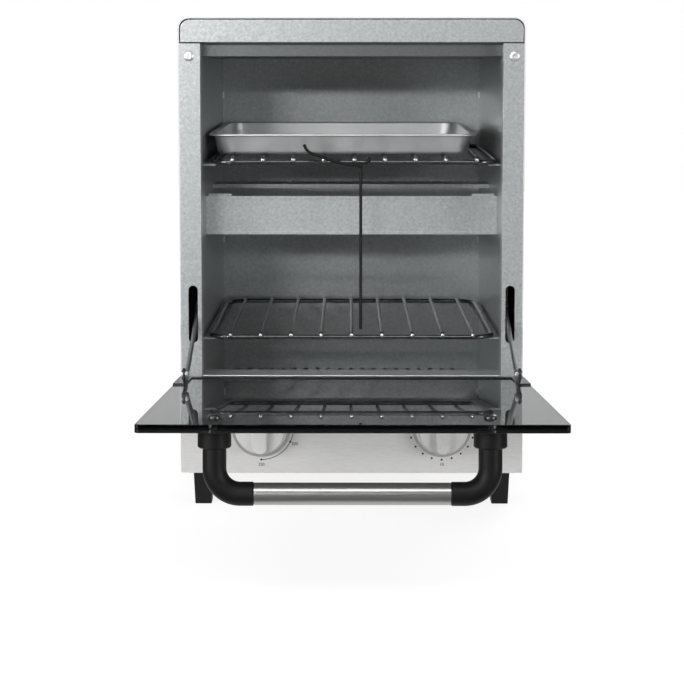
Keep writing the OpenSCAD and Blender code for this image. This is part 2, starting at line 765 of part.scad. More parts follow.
// An elbow hangs from the glass, turns inwards and ends in a spigot inside the bar
module elbow(s) color("#161616") on_door() side(s)
    translate([handle_span / 2, handle_at, outer_face]) difference() {
        union() {
            translate([0, 0, -collar_h]) cylinder(h = collar_h, d = collar_d);
            translate([0, 0, -handle_drop + elbow_r]) cylinder(h = handle_drop - elbow_r, d = elbow_d);
            translate([-elbow_r, 0, -handle_drop + elbow_r]) rotate([90, 90, 0]) rotate_extrude(angle = 90)
                translate([elbow_r, 0]) circle(d = elbow_d);
            translate([bar_l / 2 - handle_span / 2, 0, -handle_drop]) rotate([0, 90, 0])
                cylinder(h = handle_span / 2 - elbow_r - bar_l / 2, d = elbow_d);
            translate([bar_l / 2 - handle_span / 2 - 8, 0, -handle_drop]) rotate([0, 90, 0])
                cylinder(h = 8 + eps, d = bar_d - 2 - 0.2);
        }
        translate([0, 0, -handle_screw_l - 2]) cylinder(h = handle_screw_l + 3, d = handle_screw_d + 0.1);
    }

module left_elbow() elbow(-1);
module right_elbow() elbow(1);

module handle_bar() color("silver") on_door()
    translate([-bar_l / 2, handle_at, outer_face - handle_drop]) rotate([0, 90, 0]) difference() {
        cylinder(h = bar_l, d = bar_d);
        translate([0, 0, -1]) cylinder(h = bar_l + 2, d = bar_d - 2);
    }

handle_screw_l = 13;

module handle_screws() color("silver") on_door() for (s = [-1, 1])
    translate([s * handle_span / 2, handle_at, outer_face]) {
        translate([0, 0, -handle_screw_l]) cylinder(h = handle_screw_l + glass_t, d = handle_screw_d);
        translate([0, 0, glass_t]) cylinder(h = 2, d = 2 * handle_screw_d);
    }

// The arm in the plane of its plate, from its rivet: the first point is the rivet
pivot_y = hinge_y - arm_out * cos(door_tilt) + arm_pivot_h * sin(door_tilt);
pivot_z = hinge_z + arm_out * sin(door_tilt) + arm_pivot_h * cos(door_tilt);

module arm(s) color("silver") place() side(s) translate([arm_x, pivot_y, pivot_z])
    rotate([arm_slope, 0, 0]) difference() {
        sideways(0, arm_t) {
            translate([0, -arm_h / 2]) square([arm_l, arm_h]);
            circle(d = arm_h);
            translate([arm_l, 0]) circle(d = arm_h);
        }
        translate([-1, 0, 0]) rotate([0, 90, 0]) cylinder(h = arm_t + 2, d = rivet_d + 2 * rivet_clear);
        translate([-1, arm_l, 0]) rotate([0, 90, 0]) cylinder(h = arm_t + 2, d = spring_hole_d);
    }

module left_arm() arm(-1);
module right_arm() arm(1);

module arm_rivet(s) color("silver") on_door() side(s)
    translate([arm_x - arm_gap, arm_out, arm_pivot_h]) rotate([0, 90, 0]) {
        l = bracket_x + bracket_ear_t - arm_x + arm_gap;
        cylinder(h = arm_gap - 0.1, d = 1.5 * rivet_d);
        cylinder(h = l + rivet_foot_t, d = rivet_d);
        translate([0, 0, l]) cylinder(h = rivet_foot_t, d = 1.6 * rivet_d);
    }

rivet_foot_t = 0.8;

module left_arm_rivet() arm_rivet(-1);
module right_arm_rivet() arm_rivet(1);

spring_d = 6;
spring_hole_d = 3;
spring_start = arm_l + arm_h / 2 + gap;

// A door spring, from the arm's inner end to its tab on the cavity wall
module door_spring(s) color("silver") place() side(s) {
    x = arm_x + arm_t / 2;
    a = [x, pivot_y + spring_start * cos(arm_slope), pivot_z + spring_start * sin(arm_slope)];
    b = [x, spring_tab_y, spring_tab_z];
    u = unit(b - a);
    difference() {
        rod(a, b - 1.5 * gap * u, spring_d);
        rod(a - u, b, spring_d - 3);
    }
}

module left_door_spring() door_spring(-1);
module right_door_spring() door_spring(1);

// A wire rack about its front rail's middle, running back
module rack() {
    half = rack_w / 2 - frame_wire_d / 2;
    depth = rack_d - frame_wire_d;
    cross_z = (frame_wire_d + cross_wire_d) / 2 - weld;
    for (y = [0, depth]) rod([-half + rack_r, y, 0], [half - rack_r, y, 0], frame_wire_d);
    for (s = [-1, 1]) rod([s * half, rack_r, 0], [s * half, depth - rack_r, 0], frame_wire_d);
    for (c = [[1, 1, 0], [-1, 1, 90], [-1, -1, 180], [1, -1, 270]])
        translate([c[0] * (half - rack_r), depth / 2 + c[1] * (depth / 2 - rack_r), 0])
            rotate(c[2]) rotate_extrude(angle = 90) translate([rack_r, 0]) circle(d = frame_wire_d);
    for (i = [0 : wire_count - 1]) {
        x = (i - (wire_count - 1) / 2) * wire_step;
        y = -(frame_wire_d + cross_wire_d) / 2 + weld;
        wire([[x, y, cross_z - wire_drop], [x, y, cross_z], [x, depth, cross_z]], cross_wire_d);
    }
}

module upper_rack() color("#8c8f92") place()
    translate([upper_rack_x, rack_y, upper_rack_z]) rotate([upper_rack_tilt, 0, 0]) rack();
module lower_rack() color("#8c8f92") place() translate([0, rack_y, lower_rack_z]) rack();

// The tray stands on the upper rack's cross wires
module tray() color("#b9bcbe") place() translate([0, rack_y, upper_rack_z]) rotate([upper_rack_tilt, 0, 0])
    translate([tray_x - tray_w / 2, tray_y - rack_y, rack_top + gap]) {
        inner_w = tray_w - 2 * tray_rim;
        inner_d = tray_d - 2 * tray_rim;
        difference() {
            translate([tray_rim, tray_rim, 0]) linear_extrude(tray_h) round_square(inner_w, inner_d, tray_r - tray_rim);
            translate([tray_rim + tray_t, tray_rim + tray_t, tray_t]) linear_extrude(tray_h)
                round_square(inner_w - 2 * tray_t, inner_d - 2 * tray_t, tray_r - tray_rim - tray_t);
        }
        translate([0, 0, tray_h - 2.4]) difference() {
            linear_extrude(2.4) round_square(tray_w, tray_d, tray_r);
            translate([tray_rim + tray_t / 2, tray_rim + tray_t / 2, -1]) linear_extrude(5)
                round_square(inner_w - tray_t, inner_d - tray_t, tray_r - tray_rim);
        }
    }

// The wire gripper hangs on the upper rack's front rail. Its places are counted from that
// rail's middle, and its long leg ends just above the lower rack.
grip_x = 6.6;
grip_hook_x = 12.6;
grip_leg_l = upper_rack_z - lower_rack_z - rack_top - 2.6;
grip_low = -grip_leg_l;
grip_top = (frame_wire_d + grip_wire_d) / 2 + gap;
rail_back = frame_wire_d / 2 + grip_wire_d / 2 + gap;

module tray_gripper() color("#2b2522") place() translate([0, rack_y, upper_rack_z]) {
    front = grip_y - rack_y;
    tube([
        [-34.5, front, 13.2], [-33, front, 10], [-30.8, front, 7.6], [-27, front, 6], [-22, front, 4.6],
        [-16, front, 2.2], [-10.7, front, 0.4], [-4, front, -1], [grip_x - 2, front, -1.6],
        [grip_x, front, -4], [grip_x, front, grip_low / 2], [grip_x, front, grip_low]
    ], grip_wire_d, [0, 1, 0]);
    tube([
        [grip_x - 1, front, -2], [grip_hook_x - 2, front, 0], [grip_hook_x, front, 3],
        [grip_hook_x, front, grip_top - 1], [grip_hook_x, front + 1, grip_top],
        [grip_hook_x, rail_back - 1, grip_top], [grip_hook_x, rail_back, grip_top - 1],
        [grip_hook_x, rail_back, -1]
    ], grip_wire_d, [1, 0, 0]);
    tube([
        [grip_x, front, -3], [grip_x - 2, front + 4, -10], [grip_x - 2, front + 4, grip_low + 60],
        [grip_x, front, grip_low + 46]
    ], grip_wire_d, [1, 0, 0]);
}

outer_shell();
rear_panel();
rear_screws();
base_plate();
feet();
lintel();
left_post();
right_post();
sill();
control_panel();
frame_rivets();
shell_screws();
left_cavity_wall();
right_cavity_wall();
back_cavity_wall();
ceiling();
floor_pan();
left_rack_ledges();
right_rack_ledges();
middle_heater_guard();
middle_heater_cover();
middle_tubes();
bottom_tubes();
ceramic_bushes();
thermostat();
sensor_bulb();
timer();
timer_bell();
terminal_block();
inside_wires();
cord_gland();
knob_rings();
left_hinge_ear();
right_hinge_ear();
thermostat_shaft();
temperature_knob();
timer_shaft();
timer_knob();
door_glass();
door_rail();
left_corner_bracket();
right_corner_bracket();
hinge_pins();
left_elbow();
right_elbow();
handle_bar();
handle_screws();
left_arm();
right_arm();
left_arm_rivet();
right_arm_rivet();
left_door_spring();
right_door_spring();
upper_rack();
lower_rack();
tray();
tray_gripper();
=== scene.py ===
import json
import math

import bmesh
import bpy
from mathutils import Matrix, Vector


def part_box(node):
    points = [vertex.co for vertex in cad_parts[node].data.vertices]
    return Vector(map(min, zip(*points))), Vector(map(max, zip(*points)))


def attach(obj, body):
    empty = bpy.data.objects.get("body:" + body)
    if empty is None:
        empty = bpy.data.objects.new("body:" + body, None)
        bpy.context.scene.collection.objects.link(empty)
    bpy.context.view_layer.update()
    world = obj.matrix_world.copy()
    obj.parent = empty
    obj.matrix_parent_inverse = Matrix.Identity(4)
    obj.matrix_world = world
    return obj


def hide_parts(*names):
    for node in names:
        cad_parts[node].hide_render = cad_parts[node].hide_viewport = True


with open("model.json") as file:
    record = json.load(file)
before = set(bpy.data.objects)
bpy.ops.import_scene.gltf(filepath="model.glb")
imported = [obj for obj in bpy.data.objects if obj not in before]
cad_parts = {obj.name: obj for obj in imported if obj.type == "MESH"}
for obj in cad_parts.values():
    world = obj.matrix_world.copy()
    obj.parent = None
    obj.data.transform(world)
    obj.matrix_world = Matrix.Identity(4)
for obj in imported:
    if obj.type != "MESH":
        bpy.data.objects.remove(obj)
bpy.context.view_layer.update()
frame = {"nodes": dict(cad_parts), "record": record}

nodes = frame["nodes"]
scene = bpy.context.scene
scene.view_settings.view_transform = "Standard"
mm = 0.001
print("frame loaded:", len(nodes), "nodes")


# camera and stage
photoView = {
    "imageHeight": 699,
    "focalPixels": 1626.2,
    "sensor": 36,
    "place": (-0.0026, -1.1626, 0.3155),
    "pitch": 4.78,
    "yaw": 0.214,
    "shiftY": -0.2,
}


def makeCamera():
    tilt = math.radians(90 - photoView["pitch"])
    bpy.ops.object.camera_add(location=photoView["place"],
                              rotation=(tilt, 0, math.radians(photoView["yaw"])))
    camera = bpy.context.object
    camera.name = "photoCamera"
    lens = camera.data
    lens.sensor_fit = "VERTICAL"
    lens.sensor_height = photoView["sensor"]
    lens.lens = photoView["focalPixels"] * photoView["sensor"] / photoView["imageHeight"]
    lens.shift_y = photoView["shiftY"]
    scene.camera = camera


stage = {
    "floorSize": 14,
    "floorColour": (0.3, 0.3, 0.3, 1),
    "nearGlow": 0.84,        # plain white that the camera sees on the floor, by the object
    "farGlow": 1.0,          # and far away from it
    "glowReach": (0.25, 0.9),      # where the one starts to change and where the other is reached
    "shineGlow": 0.7,        # how bright the floor is in reflections, by the object
    "shineReach": (0.235, 0.28),   # where that starts to fade and where it has gone
    "backdropSize": (9, 3.2),
    "backdropPlace": 3.2,
    "backdropGlow": 0.6,     # what the backdrop lends to lights and reflections
    "worldLight": 0.05,
    "worldColour": (0.97, 0.985, 1.0, 1),
}

# each lamp: where it stands, where it points, its size across and up, its power in watts
lamps = {
    "frontStrip": ((-0.2, -2.3, 0.668), (0, 0.1, 0.29), (1.4, 0.06), 1.4),
    "leftFront": ((-0.75, -1.9, 0.61), (0, 0.1, 0.2), (0.6, 0.08), 7.6),
    "topStrip": ((0, -1.5, 1.75), (0, -0.2, 0.05), (1.4, 0.65), 12),
    "keyBox": ((-1.3, -1.4, 2.0), (0, 0, 0.15), (1.2, 0.5), 12),
    "leftLow": ((-1.6, -1.35, 0.42), (0, 0, 0.15), (0.9, 0.6), 18),
    "rightLow": ((1.6, -1.35, 0.42), (0, 0, 0.15), (0.9, 0.6), 16),
    "rearBox": ((1.3, 1.9, 1.6), (0, 0.1, 0.15), (1.2, 0.8), 22),
}
whiteRays = ["Is Camera Ray", "Is Transmission Ray"]      # the rays that see plain white


def maths(tree, operation, *parts):
    # a maths node over sockets and plain numbers
    step = tree.nodes.new("ShaderNodeMath")
    step.operation = operation
    for socket, part in zip(step.inputs, parts):
        if isinstance(part, float):
            socket.default_value = part
        else:
            tree.links.new(part, socket)
    return step.outputs[0]


def between(tree, factor, low, high, start=0.3, end=0.7):
    # a number that runs from low to high as the factor runs from start to end
    spread = tree.nodes.new("ShaderNodeMapRange")
    spread.inputs["From Min"].default_value = start
    spread.inputs["From Max"].default_value = end
    spread.inputs["To Min"].default_value = low
    spread.inputs["To Max"].default_value = high
    tree.links.new(factor, spread.inputs["Value"])
    return spread.outputs["Result"]


def rayShare(tree, kinds):
    # 1 for the named kinds of ray and 0 for the others
    path = tree.nodes.new("ShaderNodeLightPath")
    total = path.outputs[kinds[0]]
    for kind in kinds[1:]:
        total = maths(tree, "MAXIMUM", total, path.outputs[kind])
    return total


def makeWorld():
    world = bpy.data.worlds.new("studio")
    scene.world = world
    world.use_nodes = True
    tree = world.node_tree
    tree.nodes.clear()
    light = tree.nodes.new("ShaderNodeBackground")
    light.inputs["Color"].default_value = stage["worldColour"]
    light.inputs["Strength"].default_value = stage["worldLight"]
    white = tree.nodes.new("ShaderNodeBackground")
    white.inputs["Color"].default_value = (1, 1, 1, 1)
    mix = tree.nodes.new("ShaderNodeMixShader")
    out = tree.nodes.new("ShaderNodeOutputWorld")
    tree.links.new(rayShare(tree, whiteRays), mix.inputs[0])
    tree.links.new(light.outputs[0], mix.inputs[1])
    tree.links.new(white.outputs[0], mix.inputs[2])
    tree.links.new(mix.outputs[0], out.inputs["Surface"])


def glowSheet(name, colour, sheet):
    # a matte sheet with a glow of its own; returns its tree and the glow's shader
    paint = bpy.data.materials.new(name)
    paint.use_nodes = True
    tree = paint.node_tree
    tree.nodes.clear()
    matte = tree.nodes.new("ShaderNodeBsdfDiffuse")
    matte.inputs["Color"].default_value = colour
    glow = tree.nodes.new("ShaderNodeEmission")
    both = tree.nodes.new("ShaderNodeAddShader")
    out = tree.nodes.new("ShaderNodeOutputMaterial")
    tree.links.new(matte.outputs[0], both.inputs[0])
    tree.links.new(glow.outputs[0], both.inputs[1])
    tree.links.new(both.outputs[0], out.inputs["Surface"])
    sheet.data.materials.append(paint)
    return tree, glow


def makeFloor():
    bpy.ops.mesh.primitive_plane_add(size=stage["floorSize"])
    floor = bpy.context.object
    floor.name = "studioFloor"
    tree, glow = glowSheet("studioWhite", stage["floorColour"], floor)
    place = tree.nodes.new("ShaderNodeTexCoord")
    distance = tree.nodes.new("ShaderNodeVectorMath")
    distance.operation = "LENGTH"
    tree.links.new(place.outputs["Object"], distance.inputs[0])
    away = distance.outputs["Value"]
    white = between(tree, away, stage["nearGlow"], stage["farGlow"], *stage["glowReach"])
    shine = between(tree, away, stage["shineGlow"], 0, *stage["shineReach"])
    seen = maths(tree, "MULTIPLY", white, rayShare(tree, whiteRays))
    both = maths(tree, "MULTIPLY_ADD", shine, rayShare(tree, ["Is Glossy Ray"]), seen)
    tree.links.new(both, glow.inputs["Strength"])


def makeBackdrop():
    width, height = stage["backdropSize"]
    bpy.ops.mesh.primitive_plane_add(size=1, location=(0, stage["backdropPlace"], height / 2),
                                     rotation=(math.pi / 2, 0, 0))
    backdrop = bpy.context.object
    backdrop.name = "studioBackdrop"
    backdrop.scale = (width, height, 1)
    tree, glow = glowSheet("backdropWhite", (0, 0, 0, 1), backdrop)
    share = rayShare(tree, whiteRays)
    tree.links.new(between(tree, share, stage["backdropGlow"], 1, start=0, end=1), glow.inputs["Strength"])


def makeLamps():
    for name, (place, target, size, power) in lamps.items():
        aim = (Vector(target) - Vector(place)).to_track_quat("-Z", "Y").to_euler()
        bpy.ops.object.light_add(type="AREA", location=place, rotation=aim)
        lamp = bpy.context.object
        lamp.name = name
        lamp.data.shape = "RECTANGLE"
        lamp.data.size, lamp.data.size_y = size
        lamp.data.energy = power


makeCamera()
makeWorld()
makeFloor()
makeBackdrop()
makeLamps()
print("camera, floor and lamps stand")


# finishes
bumpDepth = 0.0002       # how deep the fine grain of each finish goes, in metres


def startFinish(name, **sockets):
    # a new material whose shader gets its even values on its own sockets
    finish = bpy.data.materials.new(name)
    finish.use_nodes = True
    shader = finish.node_tree.nodes["Principled BSDF"]
    for socket, value in sockets.items():
        shader.inputs[socket.replace("_", " ")].default_value = value
    return finish, finish.node_tree, shader


def objectSpace(tree, stretch=(1, 1, 1)):
    place = tree.nodes.new("ShaderNodeTexCoord")
    mapping = tree.nodes.new("ShaderNodeMapping")
    mapping.inputs["Scale"].default_value = stretch
    tree.links.new(place.outputs["Object"], mapping.inputs["Vector"])
    return mapping.outputs["Vector"]


def grain(tree, space, scale, detail, roughness=0.55):
    noise = tree.nodes.new("ShaderNodeTexNoise")
    noise.inputs["Scale"].default_value = scale
    noise.inputs["Detail"].default_value = detail
    noise.inputs["Roughness"].default_value = roughness
    tree.links.new(space, noise.inputs["Vector"])
    return noise.outputs["Fac"]


def spangle(tree, space, scale):
    cells = tree.nodes.new("ShaderNodeTexVoronoi")
    cells.inputs["Scale"].default_value = scale
    tree.links.new(space, cells.inputs["Vector"])
    split = tree.nodes.new("ShaderNodeSeparateColor")
    tree.links.new(cells.outputs["Color"], split.inputs["Color"])
    return split.outputs["Red"]


def blendColours(tree, factor, first, second, start=0.3, end=0.7):
    ramp = tree.nodes.new("ShaderNodeValToRGB")
    ramp.color_ramp.elements[0].position = start
    ramp.color_ramp.elements[1].position = end
    ramp.color_ramp.elements[0].color = (*first, 1)
    ramp.color_ramp.elements[1].color = (*second, 1)
    tree.links.new(factor, ramp.inputs["Fac"])
    return ramp.outputs["Color"]


def feed(tree, shader, **sources):
    # links patterns to the shader's sockets of those names
    for socket, source in sources.items():
        tree.links.new(source, shader.inputs[socket.replace("_", " ")])


def addBump(tree, shader, height, strength):
    bump = tree.nodes.new("ShaderNodeBump")
    bump.inputs["Strength"].default_value = strength
    bump.inputs["Distance"].default_value = bumpDepth
    tree.links.new(height, bump.inputs["Height"])
    tree.links.new(bump.outputs["Normal"], shader.inputs["Normal"])


def mottledSheet(name, dark, light, rough, metallic):
    # galvanised sheet: small crystals over soft clouds, both faint
    crystalShare = 0.22
    finish, tree, shader = startFinish(name, Metallic=metallic)
    space = objectSpace(tree)
    clouds = grain(tree, space, 420, detail=5, roughness=0.7)
    crystals = spangle(tree, space, 700)
    both = maths(tree, "MULTIPLY_ADD", crystals, crystalShare, clouds)
    feed(tree, shader, Base_Color=blendColours(tree, both, dark, light, start=0.4, end=0.85),
         Roughness=between(tree, both, rough[1], rough[0], start=0.4, end=0.85))
    addBump(tree, shader, both, strength=0.12)
    return finish


def enamel(name, colour, rough):
    finish, tree, shader = startFinish(name, Coat_Weight=0.25, Coat_Roughness=0.12)
    space = objectSpace(tree)
    clouds = grain(tree, space, 9, detail=2)
    peel = grain(tree, space, 900, detail=2)
    shade = tuple(0.965 * part for part in colour)
    feed(tree, shader, Base_Color=blendColours(tree, clouds, shade, colour),
         Roughness=between(tree, peel, rough - 0.04, rough + 0.04))
    addBump(tree, shader, peel, strength=0.08)
    return finish


def brushedPlate(name, dark, light, stretch, rough, metallic, lines):
    finish, tree, shader = startFinish(name, Metallic=metallic)
    space = objectSpace(tree, stretch)
    strokes = grain(tree, space, lines, detail=4, roughness=0.65)
    feed(tree, shader, Base_Color=blendColours(tree, strokes, dark, light),
         Roughness=between(tree, strokes, *rough))
    addBump(tree, shader, strokes, strength=0.1)
    return finish


def mouldedPlastic(name, colour, rough, texture=0.25, coat=0.0, shine=0.5):
    finish, tree, shader = startFinish(name, Coat_Weight=coat, Coat_Roughness=0.15,
                                       Specular_IOR_Level=shine)
    space = objectSpace(tree)
    fine = grain(tree, space, 1700, detail=2)
    wide = grain(tree, space, 45, detail=3)
    worn = tuple(min(1.0, 1.1 * part + 0.002) for part in colour)
    feed(tree, shader, Base_Color=blendColours(tree, wide, colour, worn, start=0.35, end=0.75),
         Roughness=between(tree, wide, rough - 0.05, rough + 0.06))
    addBump(tree, shader, fine, texture)
    return finish


def plainMetal(name, dark, light, rough, scale=300):
    finish, tree, shader = startFinish(name, Metallic=1.0)
    space = objectSpace(tree)
    clouds = grain(tree, space, scale, detail=2)
    feed(tree, shader, Base_Color=blendColours(tree, clouds, dark, light),
         Roughness=between(tree, clouds, 0.9 * rough, 1.1 * rough))
    return finish


def darkPaint(name, colour, rough, coat=0.3, shine=0.5):
    finish, tree, shader = startFinish(name, Coat_Weight=coat, Coat_Roughness=0.2,
                                       Specular_IOR_Level=shine)
    space = objectSpace(tree)
    clouds = grain(tree, space, 500, detail=3)
    worn = tuple(1.6 * part + 0.003 for part in colour)
    feed(tree, shader, Base_Color=blendColours(tree, clouds, colour, worn, start=0.4, end=0.8),
         Roughness=between(tree, clouds, rough - 0.05, rough + 0.08))
    addBump(tree, shader, clouds, strength=0.1)
    return finish


def tintedGlass(name, tint):
    finish, tree, shader = startFinish(name, Transmission_Weight=1.0, IOR=1.5, Roughness=0.0)
    space = objectSpace(tree)
    clouds = grain(tree, space, 6, detail=2)
    lighter = tuple(1.15 * part for part in tint)
    feed(tree, shader, Base_Color=blendColours(tree, clouds, tint, lighter))
    return finish


finishes = {
    "white_enamel": enamel("whiteEnamel", (0.8, 0.805, 0.8), rough=0.3),
    "panel_enamel": brushedPlate("panelSatin", (0.72, 0.71, 0.70), (0.82, 0.815, 0.81),
                                 stretch=(4, 1, 60), rough=(0.3, 0.42), metallic=0.35, lines=40),
    "galvanised": mottledSheet("galvanisedSheet", (0.44, 0.465, 0.47), (0.67, 0.695, 0.7),
                               rough=(0.34, 0.42), metallic=0.6),
    "black_plastic": mouldedPlastic("blackPlastic", (0.005, 0.005, 0.0055), rough=0.48,
                                    texture=0.12, shine=0.22),
    "ivory_plastic": mouldedPlastic("ivoryPlastic", (0.8, 0.76, 0.66), rough=0.45),
    "white_plastic": mouldedPlastic("whitePlastic", (0.8, 0.8, 0.79), rough=0.28, texture=0.05, coat=0.4),
    "bright_steel": plainMetal("brightSteel", (0.6, 0.6, 0.6), (0.74, 0.74, 0.74), rough=0.25),
    "satin_steel": brushedPlate("satinSteel", (0.4, 0.4, 0.39), (0.48, 0.48, 0.47),
                                stretch=(1, 30, 30), rough=(0.27, 0.33), metallic=1.0, lines=90),
    "arm_steel": plainMetal("armSteel", (0.34, 0.35, 0.36), (0.45, 0.46, 0.47), rough=0.36),
    "heater_steel": plainMetal("heaterSteel", (0.2, 0.17, 0.15), (0.34, 0.31, 0.29), rough=0.4, scale=60),
    "ceramic": mouldedPlastic("ceramic", (0.82, 0.79, 0.72), rough=0.6, texture=0.4),
    "copper": plainMetal("copper", (0.58, 0.3, 0.18), (0.78, 0.47, 0.32), rough=0.3),
    "wire_cover": mouldedPlastic("wireCover", (0.42, 0.05, 0.04), rough=0.5, texture=0.1),
    "black_steel": darkPaint("blackSteel", (0.012, 0.012, 0.013), rough=0.3),
    "tinted_glass": tintedGlass("tintedGlass", (0.11, 0.115, 0.12)),
    "rack_chrome": plainMetal("rackChrome", (0.11, 0.112, 0.115), (0.16, 0.163, 0.166), rough=0.13),
    "tray_aluminium": plainMetal("trayAluminium", (0.8, 0.805, 0.81), (0.86, 0.865, 0.87),
                                 rough=0.42, scale=60),
    "dark_wire": darkPaint("darkWire", (0.006, 0.005, 0.005), rough=0.5, coat=0.0, shine=0.25),
}

# some nodes get a finish unlike the rest of their slot: the cavity's own sheets get a darker copy of the
# galvanised sheet, partly duller steel and partly painted shade for the dim cavity
shadedCavitySheet = mottledSheet("shadedCavitySheet", (0.39, 0.41, 0.41), (0.53, 0.55, 0.55),
                           rough=(0.33, 0.42), metallic=0.9)
# the ceiling's front lip gets a darker copy still: painted shadow of the lintel
lintelShadowSheet = mottledSheet("lintelShadowSheet", (0.17, 0.18, 0.18), (0.22, 0.23, 0.23),
                            rough=(0.36, 0.44), metallic=0.8)
# the knob rings are real steel rings, darkened with painted shadow round the knobs' skirts
shadedRingSteel = plainMetal("shadedRingSteel", (0.36, 0.36, 0.36), (0.44, 0.44, 0.44), rough=0.35)
ownFinishes = {
    "left_cavity_wall": shadedCavitySheet,
    "right_cavity_wall": shadedCavitySheet,
    "back_cavity_wall": shadedCavitySheet,
    "left_rack_ledges": shadedCavitySheet,
    "right_rack_ledges": shadedCavitySheet,
    "middle_heater_cover": shadedCavitySheet,
    "ceiling": lintelShadowSheet,
    "knob_rings": shadedRingSteel,
    "frame_rivets": finishes["tray_aluminium"],
    # the seam tabs and the sill's rolled edge get the bright aluminium finish, a lighter copy of the sheet
    # they are part of: painted highlight
    "seam_tabs": finishes["tray_aluminium"],
    "sill_hem": finishes["tray_aluminium"],
    "base_plate": finishes["white_enamel"],
}
slots = {part["node"]: part["material_slot"] for part in frame["record"]["subparts"]}


def finishOf(node, slot):
    return ownFinishes.get(node, finishes[slot])


def dressNodes():
    for node, slot in slots.items():
        skin = nodes[node].data.materials
        skin.clear()
        skin.append(finishOf(node, slot))


dressNodes()
print("finishes are on:", len(finishes))


# ways of working
def inMetres(points):
    # routes and profiles are written in mm
    return [tuple(part * mm for part in point) for point in points]


def clearSelection():
    bpy.ops.object.select_all(action="DESELECT")


def choose(piece):
    clearSelection()
    piece.select_set(True)
    bpy.context.view_layer.objects.active = piece


def openEdit(piece, kind="FACE"):
    choose(piece)
    bpy.ops.object.mode_set(mode="EDIT")
    bpy.ops.mesh.select_mode(type=kind)
    bpy.ops.mesh.select_all(action="SELECT")


def closeEdit():
    bpy.ops.object.mode_set(mode="OBJECT")


def pickFaces(test):
    bpy.ops.mesh.select_all(action="DESELECT")
    shape = bmesh.from_edit_mesh(bpy.context.object.data)
    for face in shape.faces:
        face.select_set(test(face))
    bmesh.update_edit_mesh(bpy.context.object.data)


def pickEdges(test):
    bpy.ops.mesh.select_all(action="DESELECT")
    shape = bmesh.from_edit_mesh(bpy.context.object.data)
    for edge in shape.edges:
        middle = (edge.verts[0].co + edge.verts[1].co) / 2
        along = edge.verts[1].co - edge.verts[0].co
        edge.select_set(test(middle, along))
    bmesh.update_edit_mesh(bpy.context.object.data)


def push(step):
    bpy.ops.mesh.extrude_region_move(TRANSFORM_OT_translate={"value": tuple(step)})


def useModifier(piece, kind, **settings):
    choose(piece)
    modifier = piece.modifiers.new(kind.title(), kind)
    for setting, value in settings.items():
        setattr(modifier, setting, value)
    bpy.ops.object.modifier_apply(modifier=modifier.name)


def roundEdges(piece, width, segments=2, angle=35):
    useModifier(piece, "BEVEL", width=width, segments=segments, limit_method="ANGLE",
                angle_limit=math.radians(angle), use_clamp_overlap=True)


def settle(piece, place=None):
    # puts a piece where a matrix says and leaves its object at the origin
    if place is not None:
        piece.matrix_world = place
    choose(piece)
    bpy.ops.object.transform_apply(location=True, rotation=True, scale=True)


def joinPieces(name, pieces):
    clearSelection()
    for piece in pieces:
        piece.select_set(True)
    bpy.context.view_layer.objects.active = pieces[0]
    bpy.ops.object.join()
    pieces[0].name = name
    return pieces[0]


def handOver(piece, name, body, slot, *replaced, angle=35, flat=True):
    # smooths and dresses a finished piece, attaches it to its body and hides the nodes it replaces; flat
    # keeps its large faces even
    piece.name = name
    piece.data.name = name
    choose(piece)
    bpy.ops.object.shade_smooth_by_angle(angle=math.radians(angle))
    if flat:
        useModifier(piece, "WEIGHTED_NORMAL", keep_sharp=True, weight=80)
    piece.data.materials.clear()
    piece.data.materials.append(finishOf(replaced[0] if replaced else name, slot))
    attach(piece, body)
    if replaced:
        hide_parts(*replaced)
    return piece


def block(low, high):
    low, high = Vector(low), Vector(high)
    bpy.ops.mesh.primitive_cube_add(size=1, location=(low + high) / 2)
    piece = bpy.context.object
    piece.scale = high - low
    settle(piece)
    return piece


def disc(centre, facing, diameter, sides):
    turn = Vector(facing).to_track_quat("Z", "Y").to_euler()
    bpy.ops.mesh.primitive_circle_add(vertices=sides, radius=diameter / 2, fill_type="NGON",
                                      location=centre, rotation=turn)
    piece = bpy.context.object
    settle(piece)
    return piece


def turned(profile, sides):
    # a turned part on the Z axis, from a list of (diameter, height) steps
    piece = disc((0, 0, profile[0][1]), (0, 0, 1), profile[0][0], sides)
    openEdit(piece)
    for (oldWidth, oldHeight), (width, height) in zip(profile, profile[1:]):
        push((0, 0, height - oldHeight))
        ratio = width / oldWidth
        bpy.ops.transform.resize(value=(ratio, ratio, 1), center_override=(0, 0, height))
    bpy.ops.mesh.select_all(action="SELECT")
    bpy.ops.mesh.normals_make_consistent(inside=False)
    closeEdit()
    return piece


def bentWire(points, wireD, bendR, sides=12, closed=False, bendSteps=6):
    # a ring pushed along each straight stretch and spun round each bend
    points = [Vector(point) for point in points]
    if closed:
        start = (points[0] + points[1]) / 2
        route = [start, *points[1:], points[0], start]
    else:
        route = points
    heading = (route[1] - route[0]).normalized()
    bpy.ops.mesh.primitive_circle_add(vertices=sides, radius=wireD / 2, location=route[0],
                                      rotation=heading.to_track_quat("Z", "Y").to_euler())
    piece = bpy.context.object
    settle(piece)
    openEdit(piece, "EDGE")
    here = route[0]
    for corner, after in zip(route[1:-1], route[2:]):
        nextHeading = (after - corner).normalized()
        turn = heading.angle(nextHeading)
        reach = bendR * math.tan(turn / 2)
        inward = (nextHeading - heading * heading.dot(nextHeading)).normalized()
        bendStart = corner - heading * reach
        push(bendStart - here)
        steps = max(2, math.ceil(bendSteps * turn / (math.pi / 2)))
        bpy.ops.mesh.spin(steps=steps, angle=turn, center=bendStart + inward * bendR,
                          axis=nextHeading.cross(heading))
        here = corner + nextHeading * reach
        heading = nextHeading
    push(route[-1] - here)
    bpy.ops.mesh.select_all(action="SELECT")
    if closed:
        bpy.ops.mesh.remove_doubles(threshold=wireD / 100)
    else:
        bpy.ops.mesh.fill_holes(sides=0)
    bpy.ops.mesh.normals_make_consistent(inside=False)
    closeEdit()
    return piece


